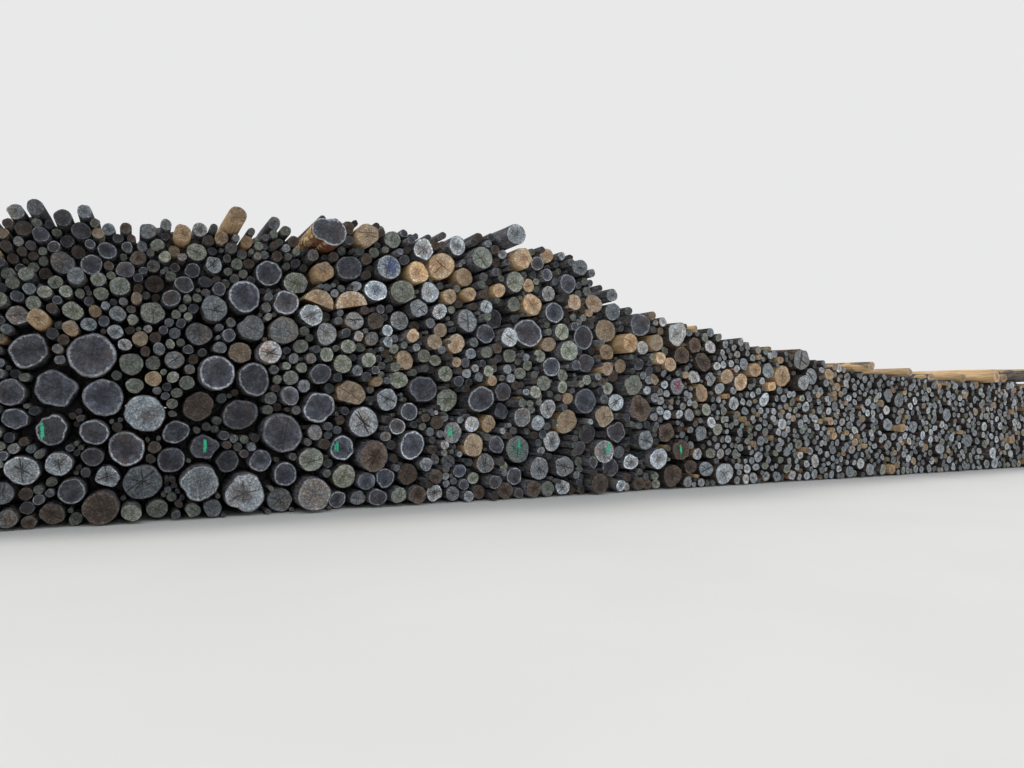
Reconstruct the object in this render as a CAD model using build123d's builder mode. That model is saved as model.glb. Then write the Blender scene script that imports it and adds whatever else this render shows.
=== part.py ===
"""A long stack of sawn logs, big weathered stems on the left, thin poles on the right.

Every log is a solid of its own, turned from the side line of a stem: it tapers evenly
from its butt to its top end. The sawn ends face -Y. The logs are set down one after the
other, each into the nearest pocket that carries it, so each one rests on the logs or on
the ground below it. Two of them are split in half, and one on top is forked.
"""
from build123d import *
import math
import os
import random

os.makedirs("parts", exist_ok=True)

# Driving dimensions, mm
LOG_LENGTH = 4000.0         # the length that the logs are cut to
LENGTH_SPREAD = 25.0        # how exactly they are cut, each way
TAPER_PER_METRE = 8.0       # loss of diameter along a log
EVEN_BELOW = 220.0          # thinner poles are young wood and run even all along
SEAT_GAP = 0.3              # air left where two logs touch
END_STAGGER = 85.0          # usual distance of a sawn end from the face of the stack
END_STAGGER_MAX = 290.0     # the most that an ordinary end stands out or back
POLE_STAGGER = 34.0         # the same for the thin poles, which were pushed up level
POLE_STAGGER_MAX = 95.0
UPPER_SET_BACK = 330.0      # how far the upper left courses stand back
POLE_DIAMETER = 188.0       # middle size of the thin poles
POLE_SPREAD = 48.0
POLE_MIN, POLE_MAX = 115.0, 320.0
FILL_MIN, FILL_MAX = 115.0, 230.0
GAP_LOG_MIN, GAP_LOG_MAX = 66.0, 165.0   # thin logs that close the gaps inside

# Ends of the stack along the ground, and where it changes from logs to poles
LEFT_TOE, RIGHT_TOE = -4700.0, 21300.0
READ_FROM = -1520.0
POLES_FROM = 8300.0

# The top of the stack: place along the row, height
TOP_PROFILE = [
    (-4900, 150), (-4300, 900), (-3300, 2300), (-2300, 3500), (-1500, 4000),
    (2000, 4080), (2400, 4290), (4600, 4180), (5200, 4380), (5600, 4130),
    (6200, 4130), (6700, 4060), (7000, 3560), (7600, 3280), (8700, 3060),
    (9400, 2880), (10400, 2760), (11300, 2560), (12300, 2420), (13300, 2250),
    (14500, 2120), (16000, 2060), (19000, 2060), (20000, 1500), (21000, 350),
    (21500, 80),
]

# Logs that can be told apart on the face: place along the row, height of the axis,
# diameter of the sawn end, look of the sawn end.
# D dark, G grey, P pale, T tan, M mossy, B brown
FACE_LOGS = [
    # first bay, lower courses
    (-1250, 2280, 500, "D"), (-675, 2170, 600, "D"), (-1440, 1785, 340, "D"),
    (-970, 1650, 550, "D"), (-370, 1685, 520, "D"), (-550, 1420, 250, "M"),
    (-1245, 1285, 310, "D"), (-905, 1165, 450, "D"), (-380, 1170, 410, "D"),
    (120, 1440, 540, "G"), (-10, 995, 450, "D"), (445, 1085, 380, "D"),
    (-1336, 820, 420, "G"), (-930, 800, 330, "G"), (-570, 870, 280, "D"),
    (-440, 620, 330, "G"), (-820, 480, 350, "D"), (-5, 500, 510, "G"),
    (335, 715, 370, "D"), (385, 360, 270, "M"), (-1450, 400, 300, "P"),
    (-1420, 140, 260, "G"), (-950, 150, 320, "B"), (-370, 220, 450, "B"),
    (210, 145, 280, "M"), (640, 170, 220, "M"), (-100, 2090, 320, "M"),
    (-320, 2010, 150, "M"), (-30, 1850, 240, "M"), (170, 1925, 210, "T"),
    (190, 2090, 230, "M"), (405, 1910, 170, "M"), (395, 1765, 160, "M"),
    (460, 2145, 260, "P"),
    # first bay, middle courses of small logs
    (-1360, 2640, 270, "G"), (-1110, 2595, 235, "T"), (-1120, 2815, 190, "M"),
    (-950, 2745, 135, "B"), (-800, 2555, 185, "T"), (-720, 2785, 270, "M"),
    (-540, 2600, 200, "G"), (-455, 2760, 165, "T"), (-360, 2420, 215, "G"),
    (-160, 2375, 190, "G"), (-265, 2230, 160, "M"), (45, 2450, 195, "T"),
    (-175, 2535, 130, "B"), (60, 2755, 325, "M"), (-220, 2760, 220, "G"),
    (-210, 3055, 260, "M"), (-5, 3010, 170, "T"), (-450, 2965, 200, "M"),
    (-505, 3160, 200, "M"), (-745, 3145, 240, "P"), (-850, 3000, 175, "M"),
    (-1400, 3180, 170, "M"), (-1220, 3160, 190, "M"), (-1050, 3200, 170, "B"),
    (-1400, 3020, 170, "M"), (-1450, 2870, 200, "M"), (-1310, 2920, 170, "D"),
    (-1030, 2980, 180, "M"), (-1270, 3300, 140, "M"), (-1130, 3320, 130, "M"),
    (-880, 3300, 300, "G"),
    # first bay, upper courses
    (-500, 3340, 270, "D"), (-175, 3300, 245, "D"), (-355, 3520, 245, "D"),
    (210, 3210, 250, "B"), (5, 3180, 140, "D"), (-30, 3530, 200, "B"),
    (190, 3440, 180, "G"), (400, 3400, 155, "D"), (240, 2935, 250, "D"),
    (460, 3130, 270, "D"), (140, 3860, 240, "P"), (300, 4000, 167, "G"),
    (225, 3660, 200, "M"), (435, 3630, 160, "T"), (-600, 4035, 210, "G"),
    (-755, 3815, 250, "D"), (-1185, 3970, 210, "G"), (-1420, 3930, 220, "G"),
    (-870, 3930, 230, "D"), (-1270, 3730, 200, "B"), (-1080, 3680, 210, "D"),
    (-1480, 3670, 150, "T"), (-1435, 3535, 140, "B"), (-1250, 3580, 130, "D"),
    (-1420, 3360, 140, "B"), (-1265, 3420, 140, "B"), (-775, 3580, 180, "B"),
    (-585, 3530, 150, "D"), (-540, 3770, 150, "T"), (-360, 3720, 160, "D"),
    (-340, 3890, 160, "G"), (-200, 3670, 155, "D"), (-160, 3840, 150, "B"),
    (-930, 3480, 160, "D"),
    # second bay, lower courses
    (875, 1940, 490, "D"), (1390, 1870, 500, "D"), (625, 1457, 440, "B"),
    (1195, 1440, 520, "D"), (1830, 1185, 610, "D"), (2310, 1540, 500, "D"),
    (1915, 1657, 290, "D"), (2285, 1160, 245, "P"), (825, 1020, 390, "D"),
    (1205, 750, 340, "D"), (745, 560, 540, "G"), (1740, 745, 360, "D"),
    (2260, 810, 370, "M"), (1980, 520, 390, "D"), (1355, 320, 630, "G"),
    (1830, 185, 370, "G"), (2300, 260, 520, "G"), (885, 200, 270, "G"),
    (1930, 1955, 230, "M"), (1745, 2095, 155, "P"), (2100, 2070, 180, "M"),
    (600, 1810, 210, "M"), (2370, 1980, 330, "D"),
    # second bay, middle and upper courses
    (690, 2500, 370, "G"), (895, 2820, 380, "P"), (1120, 2205, 330, "T"),
    (1350, 2610, 400, "P"), (1365, 3095, 480, "D"), (1645, 3395, 390, "D"),
    (1790, 2970, 380, "D"), (1800, 2530, 430, "P"), (1530, 2285, 340, "G"),
    (2035, 3300, 400, "M"), (2165, 2815, 370, "G"), (2420, 2590, 360, "P"),
    (2400, 3445, 330, "T"), (2400, 2310, 230, "M"), (2040, 2380, 230, "M"),
    (1810, 2245, 170, "B"), (1980, 2170, 170, "G"), (2090, 2520, 160, "M"),
    (915, 3465, 250, "G"), (730, 3680, 280, "M"), (690, 3330, 235, "D"),
    (850, 3200, 190, "D"), (1020, 3150, 200, "D"), (720, 3000, 150, "M"),
    (1175, 3520, 170, "M"), (1070, 3630, 120, "D"), (1250, 3650, 150, "G"),
    (1415, 3630, 120, "G"), (1355, 3830, 190, "T"), (1085, 4050, 260, "T"),
    (1030, 3835, 190, "T"), (690, 3920, 200, "G"), (470, 3860, 260, "T"),
    (1650, 4090, 200, "G"), (1870, 3990, 170, "M"), (1550, 3930, 120, "G"),
    (1580, 3800, 110, "G"), (1820, 3820, 130, "G"), (1635, 3680, 130, "G"),
    (1850, 3680, 110, "G"), (1690, 3860, 120, "B"), (2000, 3850, 200, "B"),
    # third bay, lower courses
    (2757, 1757, 470, "T"), (3293, 1586, 410, "G"), (3936, 1686, 510, "D"),
    (3586, 1870, 310, "M"), (3236, 1907, 175, "T"), (3686, 1386, 290, "D"),
    (3493, 1236, 280, "D"), (2960, 1190, 500, "G"), (3750, 943, 480, "D"),
    (3214, 814, 480, "B"), (2600, 930, 390, "D"), (2870, 680, 200, "D"),
    (2650, 536, 380, "M"), (2986, 386, 280, "D"), (3286, 436, 310, "D"),
    (3643, 470, 360, "B"), (3940, 640, 230, "G"), (4050, 480, 200, "G"),
    (4120, 364, 230, "B"), (4400, 557, 240, "G"), (2740, 143, 290, "D"),
    (3210, 170, 300, "D"), (3557, 170, 300, "M"), (3886, 170, 310, "B"),
    (4200, 1986, 260, "M"), (3980, 2014, 130, "B"), (3807, 1970, 130, "M"),
    (4430, 1600, 400, "M"), (4480, 1870, 190, "D"), (4290, 1157, 360, "G"),
    (4010, 1136, 150, "P"), (4336, 900, 150, "G"), (4500, 730, 300, "M"),
    (2680, 2190, 300, "M"), (3067, 2210, 240, "M"), (3314, 2145, 140, "M"),
    (3470, 2120, 160, "M"), (3718, 2190, 320, "T"), (4390, 2150, 170, "T"),
    (4014, 2283, 230, "M"),
    # third bay, middle and upper courses
    (2970, 4018, 360, "T"), (3430, 4010, 280, "M"), (3860, 3995, 370, "G"),
    (2726, 3600, 400, "D"), (3360, 3670, 410, "G"), (3786, 3580, 370, "T"),
    (4256, 3700, 480, "T"), (3165, 3210, 370, "G"), (3580, 3260, 410, "M"),
    (4090, 3320, 350, "P"), (4360, 3253, 250, "T"), (3930, 3033, 340, "P"),
    (3627, 2860, 320, "G"), (4200, 2910, 280, "G"), (2770, 2790, 310, "P"),
    (3165, 2836, 290, "B"), (3340, 2680, 190, "G"), (3135, 2570, 225, "P"),
    (3330, 2490, 180, "G"), (2915, 2540, 170, "G"), (2726, 2440, 230, "M"),
    (3060, 2374, 170, "M"), (3735, 2594, 240, "T"), (3975, 2480, 270, "T"),
    (4120, 2670, 240, "T"), (4470, 2530, 330, "T"), (3300, 2314, 150, "B"),
    (3500, 2350, 170, "M"), (3610, 2340, 120, "M"), (4240, 2283, 210, "M"),
    (4370, 2280, 130, "B"),
    # fourth bay, lower courses
    (4857, 1630, 500, "D"), (5370, 1710, 350, "D"), (5136, 1890, 190, "T"),
    (4980, 2036, 200, "M"), (5080, 2130, 140, "M"), (5264, 2114, 180, "P"),
    (5390, 2000, 160, "G"), (5364, 1300, 290, "D"), (4757, 1170, 270, "P"),
    (5093, 1180, 310, "T"), (4857, 850, 430, "T"), (5250, 864, 320, "D"),
    (5400, 1040, 130, "B"), (5700, 830, 500, "G"), (5657, 1286, 340, "G"),
    (5970, 1250, 280, "P"), (6140, 1470, 360, "G"), (5886, 1500, 160, "M"),
    (5636, 1630, 130, "T"), (5760, 1757, 220, "M"), (5930, 1810, 200, "M"),
    (5590, 1780, 130, "G"), (5610, 2014, 230, "M"), (5780, 2040, 150, "M"),
    (6000, 1986, 280, "M"), (6270, 1857, 220, "M"), (6210, 2250, 350, "D"),
    (6490, 2025, 220, "M"), (6440, 1240, 440, "T"), (6207, 940, 390, "G"),
    (5014, 514, 330, "G"), (4800, 357, 210, "M"), (4570, 450, 240, "D"),
    (4580, 240, 180, "D"), (5157, 280, 260, "D"), (5530, 414, 310, "D"),
    (5600, 200, 220, "B"), (6000, 380, 420, "G"), (6320, 540, 400, "G"),
    (6290, 200, 200, "M"),
    # fourth bay, middle and upper courses
    (4550, 4010, 320, "G"), (5230, 4230, 340, "G"), (4950, 3840, 390, "M"),
    (5490, 3930, 380, "T"), (5885, 3890, 250, "D"), (6050, 4060, 280, "T"),
    (5990, 3690, 220, "D"), (6080, 3830, 150, "D"), (6385, 3580, 360, "D"),
    (6580, 3890, 330, "G"), (4660, 3556, 320, "T"), (4700, 3290, 240, "T"),
    (5100, 3380, 250, "T"), (4976, 3147, 225, "P"), (5430, 3470, 360, "M"),
    (5718, 3520, 230, "T"), (5756, 3220, 400, "T"), (5445, 3130, 280, "M"),
    (6097, 3430, 280, "G"), (6190, 3117, 380, "D"), (4574, 2910, 400, "P"),
    (5195, 2890, 360, "D"), (4960, 2630, 340, "D"), (5385, 2586, 330, "P"),
    (5740, 2800, 530, "D"), (6080, 2560, 280, "T"), (6355, 2806, 280, "M"),
    (6460, 2440, 360, "M"), (4930, 2330, 220, "M"), (4550, 2240, 160, "D"),
    (4700, 2360, 200, "G"), (5410, 2300, 250, "M"), (5650, 2370, 140, "G"),
    (5756, 2230, 180, "M"), (5630, 2200, 130, "M"), (5960, 2280, 250, "M"),
    # fifth bay, lower courses
    (6900, 1630, 480, "D"), (6510, 1586, 230, "T"), (7040, 1250, 410, "T"),
    (7400, 1550, 330, "P"), (7857, 1457, 500, "B"), (7457, 1086, 450, "D"),
    (7914, 957, 380, "G"), (6700, 843, 270, "D"), (7014, 900, 350, "D"),
    (7214, 643, 430, "G"), (7593, 686, 240, "G"), (7843, 536, 340, "G"),
    (8270, 586, 440, "G"), (7530, 343, 380, "D"), (7043, 230, 360, "B"),
    (6860, 557, 200, "D"), (7870, 186, 220, "B"), (7190, 2107, 250, "T"),
    (6880, 2000, 185, "M"), (6680, 1920, 130, "G"), (6557, 1820, 110, "G"),
    (7057, 1930, 170, "B"), (7386, 2000, 240, "B"), (7300, 1786, 250, "M"),
    (7770, 1950, 400, "M"), (8230, 2014, 220, "T"), (8086, 1870, 190, "P"),
    (8430, 1886, 180, "P"), (8364, 1707, 150, "P"), (8370, 1486, 175, "P"),
    (8430, 1340, 180, "P"), (8530, 1030, 450, "D"), (8670, 300, 470, "B"),
    # fifth bay, middle and upper courses
    (6890, 3776, 180, "G"), (7050, 3690, 140, "M"), (6550, 3270, 290, "T"),
    (7000, 3320, 360, "T"), (6850, 3100, 175, "T"), (6855, 2770, 450, "D"),
    (6877, 2330, 380, "D"), (7324, 2880, 420, "T"), (7536, 2610, 370, "T"),
    (7226, 2430, 320, "T"), (7567, 2283, 280, "T"), (7860, 2905, 450, "D"),
    (7890, 2530, 270, "P"), (8190, 2660, 330, "T"), (8294, 2340, 225, "T"),
    (8000, 2250, 240, "D"), (7460, 3190, 320, "G"), (7380, 3350, 260, "G"),
    (8220, 3117, 170, "T"), (8140, 2980, 150, "G"), (8560, 2810, 470, "G"),
    (8470, 2500, 220, "M"),
    # sixth bay, where the thin poles begin
    (8730, 1907, 340, "P"), (9050, 2064, 330, "P"), (9286, 1770, 370, "T"),
    (9514, 1980, 320, "G"), (9764, 1793, 260, "P"), (9880, 2080, 310, "T"),
    (10257, 1940, 370, "T"), (9250, 2240, 400, "B"), (8520, 1714, 170, "P"),
    (8486, 1564, 115, "P"), (8700, 1657, 130, "G"), (9070, 1690, 150, "P"),
    (8557, 1380, 200, "P"), (8786, 1330, 200, "P"), (9014, 1343, 280, "P"),
    (9157, 1586, 160, "M"), (9386, 1486, 260, "M"), (9586, 1470, 170, "P"),
    (9230, 1370, 160, "M"), (9386, 1214, 230, "P"), (9800, 1400, 180, "M"),
    (9936, 1286, 130, "P"), (10080, 1330, 135, "P"), (10014, 1570, 290, "P"),
    (10300, 1636, 165, "P"), (10330, 1420, 220, "P"), (10286, 1257, 120, "T"),
    (10200, 1070, 185, "P"), (10000, 1090, 180, "P"), (9657, 1057, 250, "M"),
    (9240, 986, 350, "P"), (8870, 1030, 150, "P"), (8810, 1140, 130, "B"),
    (8843, 700, 420, "D"), (9186, 630, 250, "G"), (9140, 830, 180, "P"),
    (9440, 840, 140, "P"), (9630, 830, 150, "P"), (9730, 657, 200, "G"),
    (9730, 457, 140, "G"), (9900, 870, 180, "P"), (10257, 857, 150, "P"),
    (10110, 886, 130, "P"), (10300, 686, 170, "P"), (10100, 643, 200, "M"),
    (9900, 586, 100, "P"), (9486, 330, 350, "P"), (9257, 370, 250, "D"),
    (9914, 257, 470, "G"), (9014, 243, 320, "B"), (10440, 300, 200, "P"),
    (8810, 2390, 360, "D"), (8640, 2240, 270, "T"), (9070, 2570, 310, "D"),
    (9385, 2450, 170, "T"), (9290, 2670, 200, "M"), (9445, 2800, 185, "P"),
    (9000, 2920, 150, "P"), (8900, 2750, 170, "T"), (9200, 2930, 130, "T"),
    (9600, 2590, 290, "P"), (9690, 2270, 200, "P"), (10170, 2360, 130, "P"),
    (10370, 2340, 250, "P"), (10400, 2660, 200, "G"),
    # among and on the poles
    (10630, 2170, 300, "T"), (11330, 2130, 460, "T"), (11000, 2230, 360, "G"),
    (11250, 2410, 180, "T"), (11780, 2330, 500, "P"), (11830, 1990, 360, "P"),
    (12170, 2100, 360, "G"), (12500, 2170, 250, "T"), (12900, 2270, 200, "P"),
    (13130, 2130, 200, "P"), (13430, 2330, 220, "T"), (14770, 2210, 200, "T"),
    (10830, 1630, 320, "P"), (11000, 1920, 250, "T"), (11930, 1530, 280, "P"),
    (11370, 1130, 250, "P"), (11770, 730, 220, "M"), (14330, 1770, 350, "P"),
    (14730, 1600, 330, "P"), (14270, 1100, 330, "P"), (14270, 1370, 250, "P"),
    (15130, 1070, 300, "P"), (16300, 1270, 350, "P"), (15800, 600, 300, "P"),
    (17030, 670, 350, "P"), (17730, 270, 300, "P"), (17600, 1000, 250, "P"),
    (12100, 400, 300, "P"), (13330, 300, 250, "P"), (12530, 1130, 220, "T"),
    (16870, 2080, 240, "T"), (17570, 2170, 330, "T"), (17870, 2120, 260, "T"),
    (18330, 2130, 250, "T"), (18900, 2260, 320, "T"), (15700, 2120, 220, "T"),
]

# Top logs that stand out of the face, with how far
PROUD_LOGS = {(5230, 4230): 420.0, (1085, 4050): 260.0, (2970, 4018): 200.0,
              (5490, 3930): 170.0, (6580, 3890): 120.0, (13430, 2330): 330.0,
              (17570, 2170): 260.0, (18900, 2260): 300.0, (14770, 2210): 240.0}

# Half round logs, flat side down: place along the row, height of the flat, width
SPLIT_LOGS = [(2330, 3010, 440), (2800, 3010, 480)]
SPLIT_TURN_MAX = 28.0       # the most that a flat side may lean, degrees
SPLIT_FRONT = -40.0
SPLIT_PATIENCE = 200.0      # how much higher the courses may grow before one is given up
# The forked log on the top: place, height, diameters of its two stems, how far the
# stems stand apart at the sawn end and at the back, and how far it stands out
FORK_PLACE = (2400, 4010)
FORK_STEMS = (390.0, 320.0)
FORK_SPREAD, FORK_SPREAD_BACK = 150.0, 45.0
FORK_FRONT = -430.0

rng = random.Random(41)


def top_at(x):
    """Height of the top of the stack at a place along the row."""
    if x <= TOP_PROFILE[0][0] or x >= TOP_PROFILE[-1][0]:
        return 0.0
    for (xa, za), (xb, zb) in zip(TOP_PROFILE, TOP_PROFILE[1:]):
        if xa <= x <= xb:
            return za + (zb - za) * (x - xa) / (xb - xa)
    return 0.0


class Log:
    """One log: where it lies, where its ends are and how thick it is at both."""

    def __init__(self, end_diameter, look, front):
        self.look = look
        self.end_diameter = end_diameter
        self.front = front
        self.length = LOG_LENGTH + rng.uniform(-LENGTH_SPREAD, LENGTH_SPREAD)
        loss = TAPER_PER_METRE * self.length / 1000.0 * rng.uniform(0.6, 1.3)
        if end_diameter < EVEN_BELOW:
            loss = 0.0
        self.butt_in_front = rng.random() < 0.55
        self.back_step = -loss if self.butt_in_front else loss
        self.x = self.z = 0.0
        self.kind = "whole"
        self.set_size(end_diameter)

    def set_size(self, end_diameter):
        self.end_diameter = end_diameter
        self.ra = end_diameter / 2.0
        self.rb = (end_diameter + self.back_step) / 2.0
        self.thick = max(self.ra, self.rb)
        self.back = self.front + self.length
        self.slope = (self.rb - self.ra) / self.length

    def radius_at(self, y):
        """Radius at a place along the log, from its taper."""
        return self.ra + self.slope * (y - self.front)


def reach(a, b):
    """Distance between two axes at which the logs just touch, seat gap included."""
    first, final = max(a.front, b.front), min(a.back, b.back)
    return SEAT_GAP + max(a.radius_at(first) + b.radius_at(first),
                          a.radius_at(final) + b.radius_at(final))


CELL = 400.0
placed = []
cells = {}


def put(log, x, z):
    log.x, log.z = x, z
    placed.append(log)
    cells.setdefault((int(x // CELL), int(z // CELL)), []).append(log)


def near(x, z, span):
    found = []
    for i in range(int((x - span) // CELL), int((x + span) // CELL) + 1):
        for k in range(int((z - span) // CELL), int((z + span) // CELL) + 1):
            for log in cells.get((i, k), ()):
                if math.hypot(log.x - x, log.z - z) < span:
                    found.append(log)
    return found


def is_free(log, x, z, around, skip_a=None, skip_b=None):
    for other, ox, oz, apart in around:
        if other is skip_a or other is skip_b:
            continue
        dx, dz = ox - x, oz - z
        if dx * dx + dz * dz < apart:
            return False
    return True


def surroundings(log, x, z, span):
    """Logs close to a place, nearest first, each with the squared distance it needs."""
    found = near(x, z, span + log.thick + 330.0)
    found.sort(key=lambda o: (o.x - x) ** 2 + (o.z - z) ** 2)
    return [(o, o.x, o.z, (reach(log, o) - 1e-5) ** 2) for o in found]


def pockets(log, x, z, span, half_width=None, z_top=1e9):
    """Free places near a point where the log would lie still."""
    if half_width is None:
        half_width = span
    around = surroundings(log, x, z, span)
    close = []
    for other, ox, oz, apart in around:
        d = reach(log, other)
        if abs(ox - x) < half_width + d and math.hypot(ox - x, oz - z) < span + d:
            close.append((other, ox, oz, d))
    found = []
    floor = log.thick
    for i, (a, ax, az, da) in enumerate(close):
        if abs(az - floor) < da and abs(floor - z) < span:
            step = math.sqrt(da * da - (az - floor) ** 2)
            for px in (ax - step, ax + step):
                if abs(px - x) < half_width and math.hypot(px - x, floor - z) < span:
                    if is_free(log, px, floor, around, a):
                        found.append((px, floor))
        for b, bx, bz, db in close[i + 1:]:
            dx, dz = bx - ax, bz - az
            d2 = dx * dx + dz * dz
            if d2 >= (da + db) ** 2 or d2 < 1.0:
                continue
            d = math.sqrt(d2)
            along = (da * da - db * db + d2) / (2.0 * d)
            h2 = da * da - along * along
            if h2 <= 0.0:
                continue
            h = math.sqrt(h2)
            for sign in (1.0, -1.0):
                px = ax + (along * dx - sign * h * dz) / d
                if abs(px - x) > half_width:
                    continue
                pz = az + (along * dz + sign * h * dx) / d
                if pz > z_top or pz < floor - 1e-6 or math.hypot(px - x, pz - z) > span:
                    continue
                ux, uz, vx, vz = px - ax, pz - az, px - bx, pz - bz
                if ux * vx >= 0.0:
                    continue
                if uz * abs(vx) + vz * abs(ux) < 0.12 * abs(ux * vx):
                    continue
                if is_free(log, px, pz, around, a, b):
                    found.append((px, pz))
    return found


def make_front(x, z, key=None):
    if key in PROUD_LOGS:
        return -PROUD_LOGS[key]
    usual, most = END_STAGGER, END_STAGGER_MAX
    if x > POLES_FROM:
        usual, most = POLE_STAGGER, POLE_STAGGER_MAX
    front = max(-most, min(most, rng.gauss(0.0, usual)))
    if x < 2150.0 and z > 3170.0:
        front += UPPER_SET_BACK
    return front


class Wish:
    """A log that is seen on the face, waiting for its place."""

    def __init__(self, x, z, diameter, look):
        self.x, self.z, self.d, self.look = float(x), float(z), float(diameter), look
        self.key = (x, z)
        if x < 2150.0 and z > 3170.0:
            away = (11180.0 + UPPER_SET_BACK) / 11180.0
            self.x = self.x * away
            self.z = 1600.0 + (self.z - 1600.0) * away
            self.d = self.d * away
        self.tries = 0


wishes = [Wish(*row) for row in FACE_LOGS]
waiting = sorted(wishes, key=lambda w: w.z - w.d / 2.0)
splits_to_come = list(SPLIT_LOGS)
fork_to_come = True


def keeps_off(x, z, r, ease=0.93):
    """True where a filling log would not stand in the place of a log still to come."""
    for sx, sz, width in splits_to_come:
        if abs(sx - x) < 0.55 * width + r and sz - r < z < sz + 0.5 * width:
            return False
    if fork_to_come and math.hypot(FORK_PLACE[0] - x, FORK_PLACE[1] - z) < 170.0 + r:
        return False
    for w in waiting:
        if abs(w.x - x) < 700.0 and math.hypot(w.x - x, w.z - z) < ease * (w.d / 2.0 + r):
            return False
    return True


def try_wish(w, span):
    log = Log(w.d, w.look, make_front(w.x, w.z, w.key))
    best = None
    for scale in (1.0, 0.94, 1.06, 0.89):
        log.set_size(w.d * scale)
        for px, pz in pockets(log, w.x, w.z, span):
            cost = math.hypot(px - w.x, pz - w.z) + 1.2 * abs(scale - 1.0) * w.d
            if best is None or cost < best[0]:
                best = (cost, px, pz, scale)
        if best is not None and best[0] < 0.12 * w.d:
            break
    if best is None:
        return False
    log.set_size(w.d * best[3])
    put(log, best[1], best[2])
    return True


def half_round_gap(px, pz, cx, cz, radius, turn):
    """Distance from a point to a half round laid flat side down."""
    dx, dz = px - cx, pz - cz
    u = dx * math.cos(turn) + dz * math.sin(turn)
    v = -dx * math.sin(turn) + dz * math.cos(turn)
    if v >= 0.0:
        return math.hypot(u, v) - radius
    side = max(-radius, min(radius, u))
    return math.hypot(u - side, v)


def put_split(x, z, width):
    """Lay a half log flat side down across two logs, as level as they carry it."""
    radius = width / 2.0
    around = near(x, z, 900.0)
    best = None
    for a in around:
        for b in around:
            if not (a.x < b.x and abs(a.x - x) < 1.7 * radius and abs(b.x - x) < 1.7 * radius):
                continue
            dx, dz = b.x - a.x, b.z - a.z
            apart = math.hypot(dx, dz)
            lift = (a.thick - b.thick) / apart
            if abs(lift) >= 1.0:
                continue
            turn = math.atan2(dz, dx) - math.asin(lift)
            if abs(turn) > math.radians(SPLIT_TURN_MAX):
                continue
            tx, tz = math.cos(turn), math.sin(turn)
            foot_x = a.x - (a.thick + SEAT_GAP) * tz
            foot_z = a.z + (a.thick + SEAT_GAP) * tx
            to_b = dx * tx + dz * tz
            for step in range(-12, 13):
                u = (x - foot_x) * tx + (z - foot_z) * tz + 15.0 * step
                if not 0.1 * to_b < u < 0.9 * to_b or max(u, to_b - u) > 0.93 * radius:
                    continue
                cx, cz = foot_x + u * tx, foot_z + u * tz
                cost = math.hypot(cx - x, cz - z)
                if best is not None and cost >= best[0]:
                    continue
                if all(half_round_gap(o.x, o.z, cx, cz, radius, turn)
                       >= o.thick + SEAT_GAP - 1e-6 for o in around):
                    best = (cost, cx, cz, turn)
    if best is None:
        return False
    half = Log(width, "T", SPLIT_FRONT)
    half.back_step = 0.0
    half.set_size(width)
    half.kind, half.turn = "split", best[3]
    put(half, best[1], best[2])
    return True


def put_fork(x, z):
    """Set the forked log in a pocket, its second stem leaning out where there is room."""
    stem = Log(FORK_STEMS[0], "D", FORK_FRONT)
    second = Log(FORK_STEMS[1], "D", FORK_FRONT)
    best = None
    for px, pz in pockets(stem, x, z, 420.0):
        around = surroundings(second, px, pz, 500.0)
        for degrees in range(210, 90, -6):
            ax, az = math.cos(math.radians(degrees)), math.sin(math.radians(degrees))
            cost = math.hypot(px - x, pz - z) + (210 - degrees)
            if best is not None and cost >= best[0]:
                continue
            if is_free(second, px + FORK_SPREAD * ax, pz + FORK_SPREAD * az, around):
                best = (cost, px, pz, (ax, az))
    if best is None:
        return False
    stem.kind, stem.lean, stem.second = "fork", best[3], second
    put(stem, best[1], best[2])
    tip = Log(FORK_STEMS[1], "D", FORK_FRONT)
    tip.kind = "part of the fork"
    put(tip, best[1] + FORK_SPREAD * best[3][0], best[2] + FORK_SPREAD * best[3][1])
    return True


def filler_look(x, z, d):
    if x > POLES_FROM:
        return rng.choices("PGMT", (62, 14, 14, 10))[0]
    if x < READ_FROM:
        if d > 260.0:
            return rng.choices("DGBM", (55, 25, 12, 8))[0]
        return rng.choices("DGBMT", (22, 22, 16, 30, 10))[0]
    return rng.choices("DGMB", (20, 30, 30, 20))[0]


def filler_size(x, z):
    if x > POLES_FROM:
        return max(POLE_MIN, min(POLE_MAX, rng.gauss(POLE_DIAMETER, POLE_SPREAD)))
    if x < READ_FROM - 120.0:
        if 2350.0 < z < 3400.0 or z > 3500.0:
            return rng.uniform(150.0, 290.0)
        return rng.uniform(260.0, 540.0)
    return rng.uniform(FILL_MIN, FILL_MAX)


# The ground course, from the left toe to the right one
ground = sorted((w for w in waiting if w.z - w.d / 2.0 < 75.0), key=lambda w: w.x)
last = Log(300.0, "G", make_front(LEFT_TOE, 0.0))
put(last, LEFT_TOE, last.thick)


def touching_x(log, before):
    d = reach(log, before)
    return before.x + math.sqrt(max(0.0, d * d - (before.z - log.thick) ** 2))


def ground_log(log, x_wanted=None):
    """Set a log on the ground right beside the one before it."""
    global last
    px = touching_x(log, last)
    around = surroundings(log, px, log.thick, 1000.0)
    while not is_free(log, px, log.thick, around, last):
        px += 2.0
    put(log, px, log.thick)
    last = log


def fill_ground_to(limit, small):
    """Fill the ground with logs up to a place, the last one fitted to the gap."""
    while True:
        x = last.x + last.thick
        d = filler_size(x, 0.0)
        if x < READ_FROM - 300.0:
            d = rng.uniform(260.0, 430.0)
        elif x < POLES_FROM:
            d = rng.uniform(150.0, 300.0)
        log = Log(d, filler_look(x, 0.0, d), make_front(x, 0.0))
        px = touching_x(log, last)
        if px + log.thick > limit:
            room = limit - x
            if room < small:
                return
            log.set_size(max(small, min(d, room)))
            px = touching_x(log, last)
            if px + 0.6 * log.thick > limit:
                return
        ground_log(log)


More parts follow.
